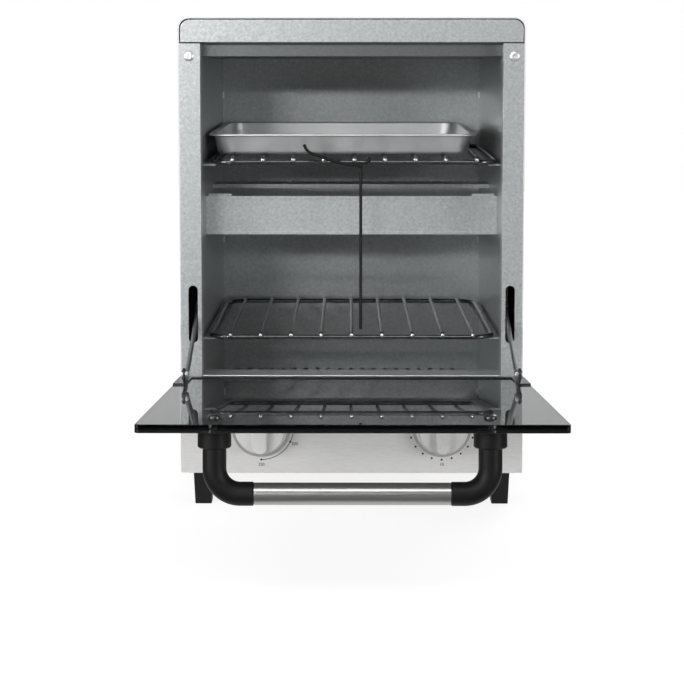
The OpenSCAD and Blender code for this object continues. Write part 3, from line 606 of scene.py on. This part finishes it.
def copyOfNode(node):
    # a clean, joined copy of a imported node's loose triangles
    clearSelection()
    source = nodes[node]
    piece = bpy.data.objects.new(node + "Copy", source.data.copy())
    scene.collection.objects.link(piece)
    openEdit(piece, "VERT")
    bpy.ops.mesh.remove_doubles(threshold=2e-6)
    bpy.ops.mesh.dissolve_limited(angle_limit=math.radians(0.5))
    closeEdit()
    return piece


# places taken from the frame
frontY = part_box("left_post")[0].y
hingeLow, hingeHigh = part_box("hinge_pins")
hingeY = (hingeLow.y + hingeHigh.y) / 2
hingeZ = (hingeLow.z + hingeHigh.z) / 2
doorTilt = math.radians(4.7)      # how far above level the open door stops
doorPlace = Matrix.Translation((0, hingeY, hingeZ)) @ Matrix.Rotation(-doorTilt, 4, "X")

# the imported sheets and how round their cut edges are, in mm; the last two are moulded blocks
sheetEdges = {
    "outer_shell": 0.35, "rear_panel": 0.25, "lintel": 0.3, "left_post": 0.3, "right_post": 0.3,
    "sill": 0.45, "control_panel": 0.35, "ceiling": 0.25, "floor_pan": 0.25,
    "middle_heater_guard": 0.4, "middle_heater_cover": 0.25, "left_rack_ledges": 0.25,
    "right_rack_ledges": 0.25, "base_plate": 0.25, "left_corner_bracket": 0.3,
    "right_corner_bracket": 0.3, "left_arm": 0.3, "right_arm": 0.3, "left_hinge_ear": 0.3,
    "right_hinge_ear": 0.3, "door_rail": 0.3, "terminal_block": 0.8, "cord_gland": 0.8,
}
lintelGap = 0.8 * mm     # the open joint between the lintel and the shell round it


def bodyOf(node):
    for body, members in frame["record"]["behaviour"]["bodies"].items():
        if node in members:
            return body
    return "root"


def shrinkLintel(piece):
    low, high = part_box("lintel")
    width, height = high.x - low.x, high.z - low.z
    openEdit(piece)
    bpy.ops.transform.resize(value=((width - 2 * lintelGap) / width, 1, (height - lintelGap) / height),
                             center_override=(0, low.y, low.z))
    closeEdit()


def easeSheets():
    for node, width in sheetEdges.items():
        piece = copyOfNode(node)
        if node == "lintel":
            shrinkLintel(piece)
        roundEdges(piece, width * mm)
        handOver(piece, node + "_eased", bodyOf(node), slots[node], node, angle=30)


easeSheets()
print("sheet metal is eased:", len(sheetEdges))

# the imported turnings, wires and pierced walls, with their facets shaded round
roundParts = [
    "shell_screws", "rear_screws", "left_cavity_wall", "right_cavity_wall", "back_cavity_wall",
    "middle_tubes", "bottom_tubes", "ceramic_bushes", "thermostat", "sensor_bulb", "timer",
    "timer_bell", "inside_wires", "thermostat_shaft", "timer_shaft", "hinge_pins",
    "left_arm_rivet", "right_arm_rivet", "knob_rings",
]


def roundThem():
    for node in roundParts:
        piece = copyOfNode(node)
        handOver(piece, node + "_round", bodyOf(node), slots[node], node, angle=30)


roundThem()
print("round parts are shaded:", len(roundParts))


# the heater guard's folded hems, and its end tabs
guardHem = {
    "tall": 2.2 * mm,
    "proud": 0.5 * mm,       # in front of the guard
    "sunk": 0.05 * mm,       # into it
    "short": 1 * mm,         # from its ends
    "edge": 0.24 * mm,
    "tabW": 17 * mm,
    "tabH": 1.6 * mm,
    "tabSunk": 0.2 * mm,
    "tabShort": 2 * mm,
    "tabFront": 3 * mm,      # a tab's two faces, behind the guard's front
    "tabBack": 4 * mm,
}


def makeGuardHems():
    low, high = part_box("middle_heater_guard")
    tall, short = guardHem["tall"], guardHem["short"]
    front, back = low.y - guardHem["proud"], low.y + guardHem["sunk"]
    parts = [block((low.x + short, front, z), (high.x - short, back, z + tall))
             for z in (low.z, high.z - tall)]
    for side in (-1, 1):
        outer = side * (high.x - guardHem["tabShort"])
        inner = side * (high.x - guardHem["tabShort"] - guardHem["tabW"])
        nearCorner = (min(outer, inner), low.y + guardHem["tabFront"], high.z - guardHem["tabSunk"])
        farCorner = (max(outer, inner), low.y + guardHem["tabBack"], high.z + guardHem["tabH"])
        parts.append(block(nearCorner, farCorner))
    guardHems = joinPieces("guard_hems", parts)
    roundEdges(guardHems, guardHem["edge"], segments=3)
    handOver(guardHems, "guard_hems", "root", "galvanised", angle=40)


# the seam tabs in the cavity's back corners
seamTab = {
    "places": (0.2975, 0.1745, 0.1135),      # heights above the bench, in metres
    "width": 1.3 * mm,
    "height": 5.5 * mm,
    "proud": 1.2 * mm,
    "sunk": 0.2 * mm,
    "edge": 0.24 * mm,
}


def makeSeamTabs():
    low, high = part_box("back_cavity_wall")
    front, back, half = low.y - seamTab["proud"], low.y + seamTab["sunk"], seamTab["height"] / 2
    parts = []
    for side in (-1, 1):
        outer = side * high.x
        inner = side * (high.x - seamTab["width"])
        for z in seamTab["places"]:
            parts.append(block((min(outer, inner), front, z - half), (max(outer, inner), back, z + half)))
    tabs = joinPieces("seam_tabs", parts)
    roundEdges(tabs, seamTab["edge"])
    # the tabs take a brighter finish than the cavity's sheet: painted highlight
    handOver(tabs, "seam_tabs", "root", "galvanised", angle=40)


# the sill's rolled front edge
sillHem = {
    "rollD": 1.5 * mm,
    "back": 0.5 * mm,        # behind the sill's front
    "rise": 0.4 * mm,        # above its top
    "short": 1 * mm,         # from its ends
}


def makeSillHem():
    low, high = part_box("sill")
    y, z = low.y + sillHem["back"], high.z + sillHem["rise"]
    reach = high.x - sillHem["short"]
    hem = bentWire([(-reach, y, z), (reach, y, z)], sillHem["rollD"], bendR=0, sides=16)
    # the hem takes a brighter finish than the sill's sheet: painted highlight along the sill's front edge
    handOver(hem, "sill_hem", "root", "galvanised", angle=50)


makeGuardHems()
makeSeamTabs()
makeSillHem()
print("hems and tabs are folded")


# racks
rackSize = {
    "width": 211 * mm,
    "depth": 195 * mm,
    "frameWire": 3.4 * mm,
    "crossWire": 3 * mm,
    "weld": 0.5 * mm,        # how far the cross wires sink into the frame
    "cornerR": 15 * mm,
    "wireStep": 22.2 * mm,
    "wireCount": 9,
    "endRound": 1.1 * mm,
    "glintBallD": 3.5 * mm,        # a bright steel ball on the front end of each cross wire: a real weld bead, its brightness a painted highlight
    "glintBallDrop": 0.8 * mm,
    "frontY": 9 * mm,        # the front rail behind the front plane
}
# each rack's place across and up in metres, and how far its rear is tilted up
rackPlaces = {
    "upper_rack": (0.002, 0.2513, math.radians(1.1)),
    "lower_rack": (0, 0.123, 0),
}


def rackFrame(node):
    x, z, tilt = rackPlaces[node]
    return Matrix.Translation((x, frontY + rackSize["frontY"], z)) @ Matrix.Rotation(tilt, 4, "X")


def wireEnds():
    # the middles of the cross wires' front ends
    spacing = (rackSize["frameWire"] + rackSize["crossWire"]) / 2 - rackSize["weld"]
    middle = (rackSize["wireCount"] - 1) / 2
    return [((index - middle) * rackSize["wireStep"], -spacing, spacing)
            for index in range(rackSize["wireCount"])]


def makeRack(node):
    half = (rackSize["width"] - rackSize["frameWire"]) / 2
    depth = rackSize["depth"] - rackSize["frameWire"]
    corners = [(-half, 0, 0), (half, 0, 0), (half, depth, 0), (-half, depth, 0)]
    parts = [bentWire(corners, rackSize["frameWire"], rackSize["cornerR"],
                      sides=16, closed=True, bendSteps=8)]
    for x, y, z in wireEnds():
        wire = bentWire([(x, y, z), (x, depth, z)], rackSize["crossWire"], bendR=0)
        roundEdges(wire, rackSize["endRound"], segments=3, angle=60)
        parts.append(wire)
    rack = joinPieces(node + "_wires", parts)
    settle(rack, rackFrame(node))
    handOver(rack, node + "_wires", node, "rack_chrome", node, angle=60)


# weld beads on the cross wires' front ends, in bright steel on the dark chrome: painted highlights
def makeRackGlintBalls(node):
    caps = []
    for x, y, z in wireEnds():
        bpy.ops.mesh.primitive_uv_sphere_add(segments=16, ring_count=10, radius=rackSize["glintBallD"] / 2,
                                             location=(x, y, z - rackSize["glintBallDrop"]))
        caps.append(bpy.context.object)
        settle(caps[-1])
    glintBalls = joinPieces(node + "_ends", caps)
    settle(glintBalls, rackFrame(node))
    handOver(glintBalls, node + "_ends", node, "bright_steel", angle=60, flat=False)


for rackName in rackPlaces:
    makeRack(rackName)
    makeRackGlintBalls(rackName)
print("racks are bent and welded")


# tray
traySize = {
    "width": 199 * mm,
    "depth": 181 * mm,
    "height": 15 * mm,
    "rim": 3.7 * mm,
    "rimDrop": 1.7 * mm,
    "sheet": 0.8 * mm,
    "cornerR": 13 * mm,
    "taper": 2.4 * mm,       # how far a wall leans in at its foot
    "footR": 2.6 * mm,
    "rimRound": 0.7 * mm,
    "aside": -6.5 * mm,
    "behindRail": 16 * mm,
    "aboveRail": 4.5 * mm,
}


def growFace(width, depth, newWidth, newDepth, centre):
    bpy.ops.transform.resize(value=(newWidth / width, newDepth / depth, 1), center_override=centre)


def makeTray():
    width, depth, height = traySize["width"], traySize["depth"], traySize["height"]
    rim, sheet, taper = traySize["rim"], traySize["sheet"], traySize["taper"]
    wallW, wallD = width - 2 * rim, depth - 2 * rim
    footW, footD = wallW - 2 * taper, wallD - 2 * taper
    rimFoot = height - traySize["rimDrop"]
    tray = block((-footW / 2, 0, 0), (footW / 2, footD, rimFoot))
    openEdit(tray, "EDGE")
    pickEdges(lambda middle, along: abs(along.z) > rimFoot / 2)
    bpy.ops.mesh.bevel(offset=traySize["cornerR"], segments=10, affect="EDGES")
    bpy.ops.mesh.select_mode(type="FACE")
    middleY = footD / 2
    pickFaces(lambda face: face.normal.z > 0.9)
    growFace(footW, footD, wallW, wallD, (0, middleY, rimFoot))
    push((0, 0, 0))
    growFace(wallW, wallD, width, depth, (0, middleY, rimFoot))
    push((0, 0, height - rimFoot))
    push((0, 0, 0))
    innerW, innerD = wallW - 2 * sheet, wallD - 2 * sheet
    growFace(width, depth, innerW, innerD, (0, middleY, height))
    push((0, 0, sheet - height))
    growFace(innerW, innerD, footW - 2 * sheet, footD - 2 * sheet, (0, middleY, sheet))
    shape = bmesh.from_edit_mesh(tray.data)
    near = 1e-5
    for edge in shape.edges:
        atFoot = all(corner.co.z < near for corner in edge.verts)
        atFloor = all(abs(corner.co.z - sheet) < near for corner in edge.verts)
        edge.select_set(atFoot or atFloor)
    bpy.ops.mesh.select_mode(type="EDGE")
    bpy.ops.mesh.bevel(offset=traySize["footR"], segments=5, affect="EDGES")
    pickEdges(lambda middle, along: middle.z > rimFoot - near)
    shape = bmesh.from_edit_mesh(tray.data)
    sharp = 0.5              # radians between the two faces
    for edge in shape.edges:
        edge.select_set(edge.select and edge.calc_face_angle(0) > sharp)
    bpy.ops.mesh.bevel(offset=traySize["rimRound"], segments=4, affect="EDGES")
    closeEdit()
    shift = Matrix.Translation((traySize["aside"] - rackPlaces["upper_rack"][0],
                                traySize["behindRail"] + rim + taper, traySize["aboveRail"]))
    settle(tray, rackFrame("upper_rack") @ shift)
    handOver(tray, "tray_pressed", "tray", "tray_aluminium", "tray", angle=40)


makeTray()
print("tray is pressed")


# wire tray gripper, hung on the upper rack's front rail
gripper = {
    "wireD": 2.2 * mm,
    # each wire's route in mm, from the rail's axis at the cabinet's middle,
    # and the radius of its bends and their steps in a right angle
    "wires": [
        # jaw and front leg
        ([(-34.5, -6.4, 13.2), (-33, -6.4, 10), (-30.8, -6.4, 7.6), (-27, -6.4, 6), (-22, -6.4, 4.6),
          (-16, -6.4, 2.2), (-10.7, -6.4, 0.4), (-4, -6.4, -1), (4.6, -6.4, -1.6), (6.6, -6.4, -4),
          (6.6, -6.4, -121.5)], 0.9 * mm, 5),
        # hook over the rail
        ([(5.6, -6.4, -2), (10.6, -6.4, 0), (12.6, -6.4, 2.4), (12.6, -6.4, 3.3), (12.6, 3.3, 3.3),
          (12.6, 3.3, -1)], 1.4 * mm, 6),
        # rear leg
        ([(6.6, -6.4, -3), (6.6, -2.4, -10), (6.6, -2.4, -61.5), (6.6, -6.4, -75.5)], 5 * mm, 6),
    ],
}


def makeGripper():
    parts = [bentWire(inMetres(route), gripper["wireD"], bendR, bendSteps=steps)
             for route, bendR, steps in gripper["wires"]]
    shape = joinPieces("tray_gripper_wire", parts)
    settle(shape, Matrix.Translation((0, frontY + rackSize["frontY"], rackPlaces["upper_rack"][1])))
    handOver(shape, "tray_gripper_wire", "gripper", "dark_wire", "tray_gripper", angle=60)


makeGripper()
print("gripper hangs")


# door glass
glassSize = {
    "start": 6 * mm,         # from the hinge pins
    "length": 254 * mm,
    "width": 248 * mm,
    "thick": 5 * mm,
    "outerFace": -0.3 * mm,
    "cornerR": 3 * mm,
    "edgeRound": 0.9 * mm,
    "screwHole": 5 * mm,
}
handle = {
    "fromEdge": 30.4 * mm,
    "inset": 43.3 * mm,
    "drop": 39.5 * mm,
    "elbowD": 14 * mm,
    "elbowR": 15 * mm,
    "elbowEdge": 0.6 * mm,
    "reach": 22.9 * mm,
    "barD": 13 * mm,
    "barEdge": 0.4 * mm,
    # diameters and heights in mm: the collar from its outer end to the glass, the screw from tip to head
    "collar": [(18.1, 0), (19.7, 0.8), (19.7, 11.5), (17.9, 12.4), (13, 12.4)],
    "screw": [(4, -18), (4, 0), (8, 0), (8, 0.7), (7.6, 1.3), (6, 1.8), (3.6, 2), (3.2, 1.2)],
}
handleX = glassSize["width"] / 2 - handle["inset"]
handleAt = glassSize["start"] + glassSize["length"] - handle["fromEdge"]


def makeGlass():
    half, start = glassSize["width"] / 2, glassSize["start"]
    low, high = glassSize["outerFace"], glassSize["outerFace"] + glassSize["thick"]
    glass = block((-half, -start - glassSize["length"], low), (half, -start, high))
    openEdit(glass, "EDGE")
    pickEdges(lambda middle, along: abs(along.z) > glassSize["thick"] / 2)
    bpy.ops.mesh.bevel(offset=glassSize["cornerR"], segments=6, affect="EDGES")
    closeEdit()
    for side in (-1, 1):
        bpy.ops.mesh.primitive_cylinder_add(vertices=32, radius=glassSize["screwHole"] / 2,
                                            depth=4 * glassSize["thick"],
                                            location=(side * handleX, -handleAt, 0))
        drill = bpy.context.object
        useModifier(glass, "BOOLEAN", operation="DIFFERENCE", object=drill, solver="EXACT")
        bpy.data.objects.remove(drill)
    roundEdges(glass, glassSize["edgeRound"], segments=3)
    settle(glass, doorPlace)
    handOver(glass, "door_glass_polished", "door", "tinted_glass", "door_glass", angle=30)


makeGlass()
print("door glass is cut and polished")


# handle
def makeElbow(side):
    top, drop = glassSize["outerFace"], handle["drop"]
    x = side * handleX
    barEnd = x - side * handle["reach"]
    route = [(x, -handleAt, top), (x, -handleAt, top - drop), (barEnd, -handleAt, top - drop)]
    tube = bentWire(route, handle["elbowD"], handle["elbowR"], sides=40, bendSteps=14)
    roundEdges(tube, handle["elbowEdge"], segments=3)
    profile = inMetres(handle["collar"])
    collar = turned(profile, sides=56)
    settle(collar, Matrix.Translation((x, -handleAt, top - profile[-1][1])))
    elbow = joinPieces("elbow", [tube, collar])
    settle(elbow, doorPlace)
    name = "left_elbow" if side < 0 else "right_elbow"
    handOver(elbow, name + "_moulded", "door", "black_plastic", name, angle=40)


def makeBar():
    length, width, edge = 2 * (handleX - handle["reach"]), handle["barD"], handle["barEdge"]
    bar = turned([(width - 2 * edge, 0), (width, edge), (width, length - edge),
                  (width - 2 * edge, length)], sides=64)
    lie = Matrix.Translation((-length / 2, -handleAt, glassSize["outerFace"] - handle["drop"]))
    settle(bar, doorPlace @ lie @ Matrix.Rotation(math.pi / 2, 4, "Y"))
    handOver(bar, "handle_bar_satin", "door", "satin_steel", "handle_bar", angle=40)


def makeHandleScrews():
    inner = glassSize["outerFace"] + glassSize["thick"]
    parts = []
    for side in (-1, 1):
        screw = turned(inMetres(handle["screw"]), sides=32)
        settle(screw, Matrix.Translation((side * handleX, -handleAt, inner)))
        parts.append(screw)
    screws = joinPieces("handle_screws", parts)
    settle(screws, doorPlace)
    handOver(screws, "handle_screws_turned", "door", slots["handle_screws"], "handle_screws", angle=40)


for handleSide in (-1, 1):
    makeElbow(handleSide)
makeBar()
makeHandleScrews()
print("handle is on")


# knobs
knob = {
    "x": 66 * mm,
    "z": 57.6 * mm,
    "seat": -2.1 * mm,       # the skirt's foot, in front of the front plane
    # diameters and heights in mm, from the skirt's foot to the face
    "profile": [(37.4, 0), (38.4, 0.5), (38.4, 2.6), (37.4, 3.5), (36.4, 4), (35.3, 4.5), (35, 5.2),
                (34.5, 9.1), (33.8, 9.8), (32.4, 10.1)],
    "height": 15.1 * mm,
    "gripW": 10 * mm,
    "gripReach": 16.5 * mm,
    "gripFoot": 1 * mm,
    "gripCorner": 4.8 * mm,
    "gripEdge": 1.3 * mm,
    "markW": 0.8 * mm,
    "markStart": 7.5 * mm,
    "markEnd": 14.5 * mm,
    "markSunk": 0.2 * mm,
    "markProud": 0.15 * mm,
}


def knobShape():
    reach, half, tall = knob["gripReach"], knob["gripW"] / 2, knob["height"]
    face = turned(inMetres(knob["profile"]), sides=72)
    grip = block((-half, -reach, knob["gripFoot"]), (half, reach, tall))
    openEdit(grip, "EDGE")
    pickEdges(lambda middle, along: abs(along.z) > tall / 2)
    bpy.ops.mesh.bevel(offset=knob["gripCorner"], segments=8, affect="EDGES")
    closeEdit()
    roundEdges(grip, knob["gripEdge"], segments=4)
    slit = knob["markW"] / 2
    line = block((-slit, knob["markStart"], tall - knob["markSunk"]),
                 (slit, knob["markEnd"], tall + knob["markProud"]))
    return joinPieces("knob", [face, grip]), line


def standUp(side):
    # turns a part made on the Z axis to face the front
    stand = Matrix.Translation((side * knob["x"], frontY + knob["seat"], knob["z"]))
    return stand @ Matrix.Rotation(math.pi / 2, 4, "X")


def makeKnobs():
    for side, name in ((-1, "temperature_knob"), (1, "timer_knob")):
        shape, line = knobShape()
        settle(shape, standUp(side))
        settle(line, standUp(side))
        handOver(shape, name + "_moulded", name, "white_plastic", name, angle=35)
        handOver(line, name + "_mark", name, "black_plastic")


# dial marks and plain numbers
dial = {
    "ink": 0.12 * mm,        # how far the print stands off the panel
    "panelFace": -1.2 * mm,
    "arcR": 23.6 * mm,
    "arcW": 0.45 * mm,
    "dotD": 1.5 * mm,
    "textH": 3.1 * mm,
    "textOut": 3.6 * mm,     # from the arc to the middles of the numbers
    # each number and its angle clockwise from the top
    "heatNumbers": {"250": 180, "200": 116, "150": 52, "100": -12},
    "timeNumbers": {"0": 0, "5": 90, "10": 180, "15": 270},
    "timeStep": 18,
}


def onDial(side, radius, clock):
    # a place on the panel at an angle clockwise from the top
    angle = math.radians(clock)
    return Vector((side * knob["x"] + radius * math.sin(angle), frontY + dial["panelFace"],
                   knob["z"] + radius * math.cos(angle)))


def dot(side, clock):
    mark = disc(onDial(side, dial["arcR"], clock), (0, -1, 0), dial["dotD"], sides=20)
    openEdit(mark)
    push((0, -dial["ink"], 0))
    closeEdit()
    return mark


def number(side, clock, words):
    bpy.ops.object.text_add()
    text = bpy.context.object
    text.data.body = words
    text.data.size = dial["textH"]
    text.data.align_x = "CENTER"
    text.data.align_y = "CENTER"
    text.data.extrude = dial["ink"] / 2
    place = onDial(side, dial["arcR"] + dial["textOut"], clock) - Vector((0, dial["ink"] / 2, 0))
    choose(text)
    bpy.ops.object.convert(target="MESH")
    settle(text, Matrix.Translation(place) @ Matrix.Rotation(math.pi / 2, 4, "X"))
    return text


def arcLine(side, first, last):
    start = onDial(side, dial["arcR"], first)
    outward = (onDial(side, 2 * dial["arcR"], first) - start).normalized() * dial["arcW"] / 2
    bpy.ops.mesh.primitive_plane_add(size=1)
    line = bpy.context.object
    low = start - outward
    for corner, place in zip(line.data.vertices, (low, start + outward, low, start + outward)):
        corner.co = place
    for corner in line.data.vertices[2:]:
        corner.co.y -= dial["ink"]
    openEdit(line)
    bpy.ops.mesh.normals_make_consistent(inside=False)
    middle = onDial(side, 0, 0)
    bpy.ops.mesh.spin(steps=48, angle=math.radians(last - first), center=middle, axis=(0, -1, 0))
    bpy.ops.mesh.select_all(action="SELECT")
    bpy.ops.mesh.normals_make_consistent(inside=False)
    closeEdit()
    return line


def makeDials():
    marks = [dot(-1, clock) for clock in dial["heatNumbers"].values()]
    marks += [number(-1, clock, words) for words, clock in dial["heatNumbers"].items()]
    marks.append(arcLine(-1, min(dial["heatNumbers"].values()), max(dial["heatNumbers"].values())))
    marks += [dot(1, clock) for clock in range(0, 360, dial["timeStep"])]
    marks += [number(1, clock, words) for words, clock in dial["timeNumbers"].items()]
    dialPrint = joinPieces("dial_print", marks)
    handOver(dialPrint, "dial_print", "root", "black_plastic")


makeKnobs()
makeDials()
print("knobs and dials are on")


# feet
foot = {
    "top": 14 * mm,
    "toe": 12 * mm,
    "height": 24 * mm,
    "edge": 1.1 * mm,
    "rim": 2 * mm,           # round the hollow under the foot
    "hollow": 1 * mm,
}


def makeFeet():
    low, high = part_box("feet")
    half = foot["top"] / 2
    ratio = foot["toe"] / foot["top"]
    parts = []
    for x in (low.x + half, high.x - half):
        for y in (low.y + half, high.y - half):
            leg = block((x - half, y - half, 0), (x + half, y + half, foot["height"]))
            openEdit(leg)
            pickFaces(lambda face: face.normal.z < -0.9)
            bpy.ops.transform.resize(value=(ratio, ratio, 1), center_override=(x, y, 0))
            bpy.ops.mesh.inset(thickness=foot["rim"])
            push((0, 0, foot["hollow"]))
            closeEdit()
            roundEdges(leg, foot["edge"], segments=3)
            parts.append(leg)
    feet = joinPieces("feet_moulded", parts)
    handOver(feet, "feet_moulded", "root", "black_plastic", "feet", angle=40)


makeFeet()
print("feet are on")


# rivets of the front frame: a hollow dome on a sunk stem
rivet = {
    "headD": 7.5 * mm,
    # diameters and heights in mm, from the stem's end over the dome into its hollow
    "profile": [(4, -4), (4, 0), (7.5, 0), (7.5, 0.15), (6.75, 0.5), (5.4, 0.85), (3.75, 1),
                (2.4, 0.9), (2.16, 0.3)],
}


def makeFrameRivets():
    low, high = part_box("frame_rivets")
    z = (low.z + high.z) / 2
    inset = rivet["headD"] / 2
    parts = []
    for x in (low.x + inset, high.x - inset):
        shape = turned(inMetres(rivet["profile"]), sides=40)
        settle(shape, Matrix.Translation((x, frontY, z)) @ Matrix.Rotation(math.pi / 2, 4, "X"))
        parts.append(shape)
    rivets = joinPieces("frame_rivets_set", parts)
    handOver(rivets, "frame_rivets_set", "root", "bright_steel", "frame_rivets", angle=50)


makeFrameRivets()
print("rivets are set")


# door springs: coils between the arms and the tabs on the cavity walls
spring = {
    "coilD": 4.9 * mm,
    "wire": 1 * mm,
    "turns": 38,
    "perTurn": 12,
    "startInset": (1.5 * mm, 3 * mm),      # from the node's box to the coil's ends, in depth and height
    "endInset": (0.5 * mm, 3 * mm),
}


def makeSpring(node):
    low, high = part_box(node)
    middleX = (low.x + high.x) / 2
    startInset, endInset = spring["startInset"], spring["endInset"]
    start = Vector((middleX, low.y + startInset[0], low.z + startInset[1]))
    end = Vector((middleX, high.y - endInset[0], high.z - endInset[1]))
    along = end - start
    count = spring["turns"] * spring["perTurn"]
    curve = bpy.data.curves.new(node + "_coil", "CURVE")
    curve.dimensions = "3D"
    curve.bevel_depth = spring["wire"] / 2
    curve.bevel_resolution = 1
    line = curve.splines.new("POLY")
    line.points.add(count)
    aside = Vector((1, 0, 0))
    up = along.normalized().cross(aside)
    for index, point in enumerate(line.points):
        angle = 2 * math.pi * index / spring["perTurn"]
        offset = (aside * math.cos(angle) + up * math.sin(angle)) * spring["coilD"] / 2
        point.co = (*(start + along * index / count + offset), 1)
    coil = bpy.data.objects.new(node + "_coil", curve)
    scene.collection.objects.link(coil)
    choose(coil)
    bpy.ops.object.convert(target="MESH")
    handOver(coil, node + "_coil", bodyOf(node), "bright_steel", node, angle=60)


for springNode in ("left_door_spring", "right_door_spring"):
    makeSpring(springNode)
print("springs are wound")
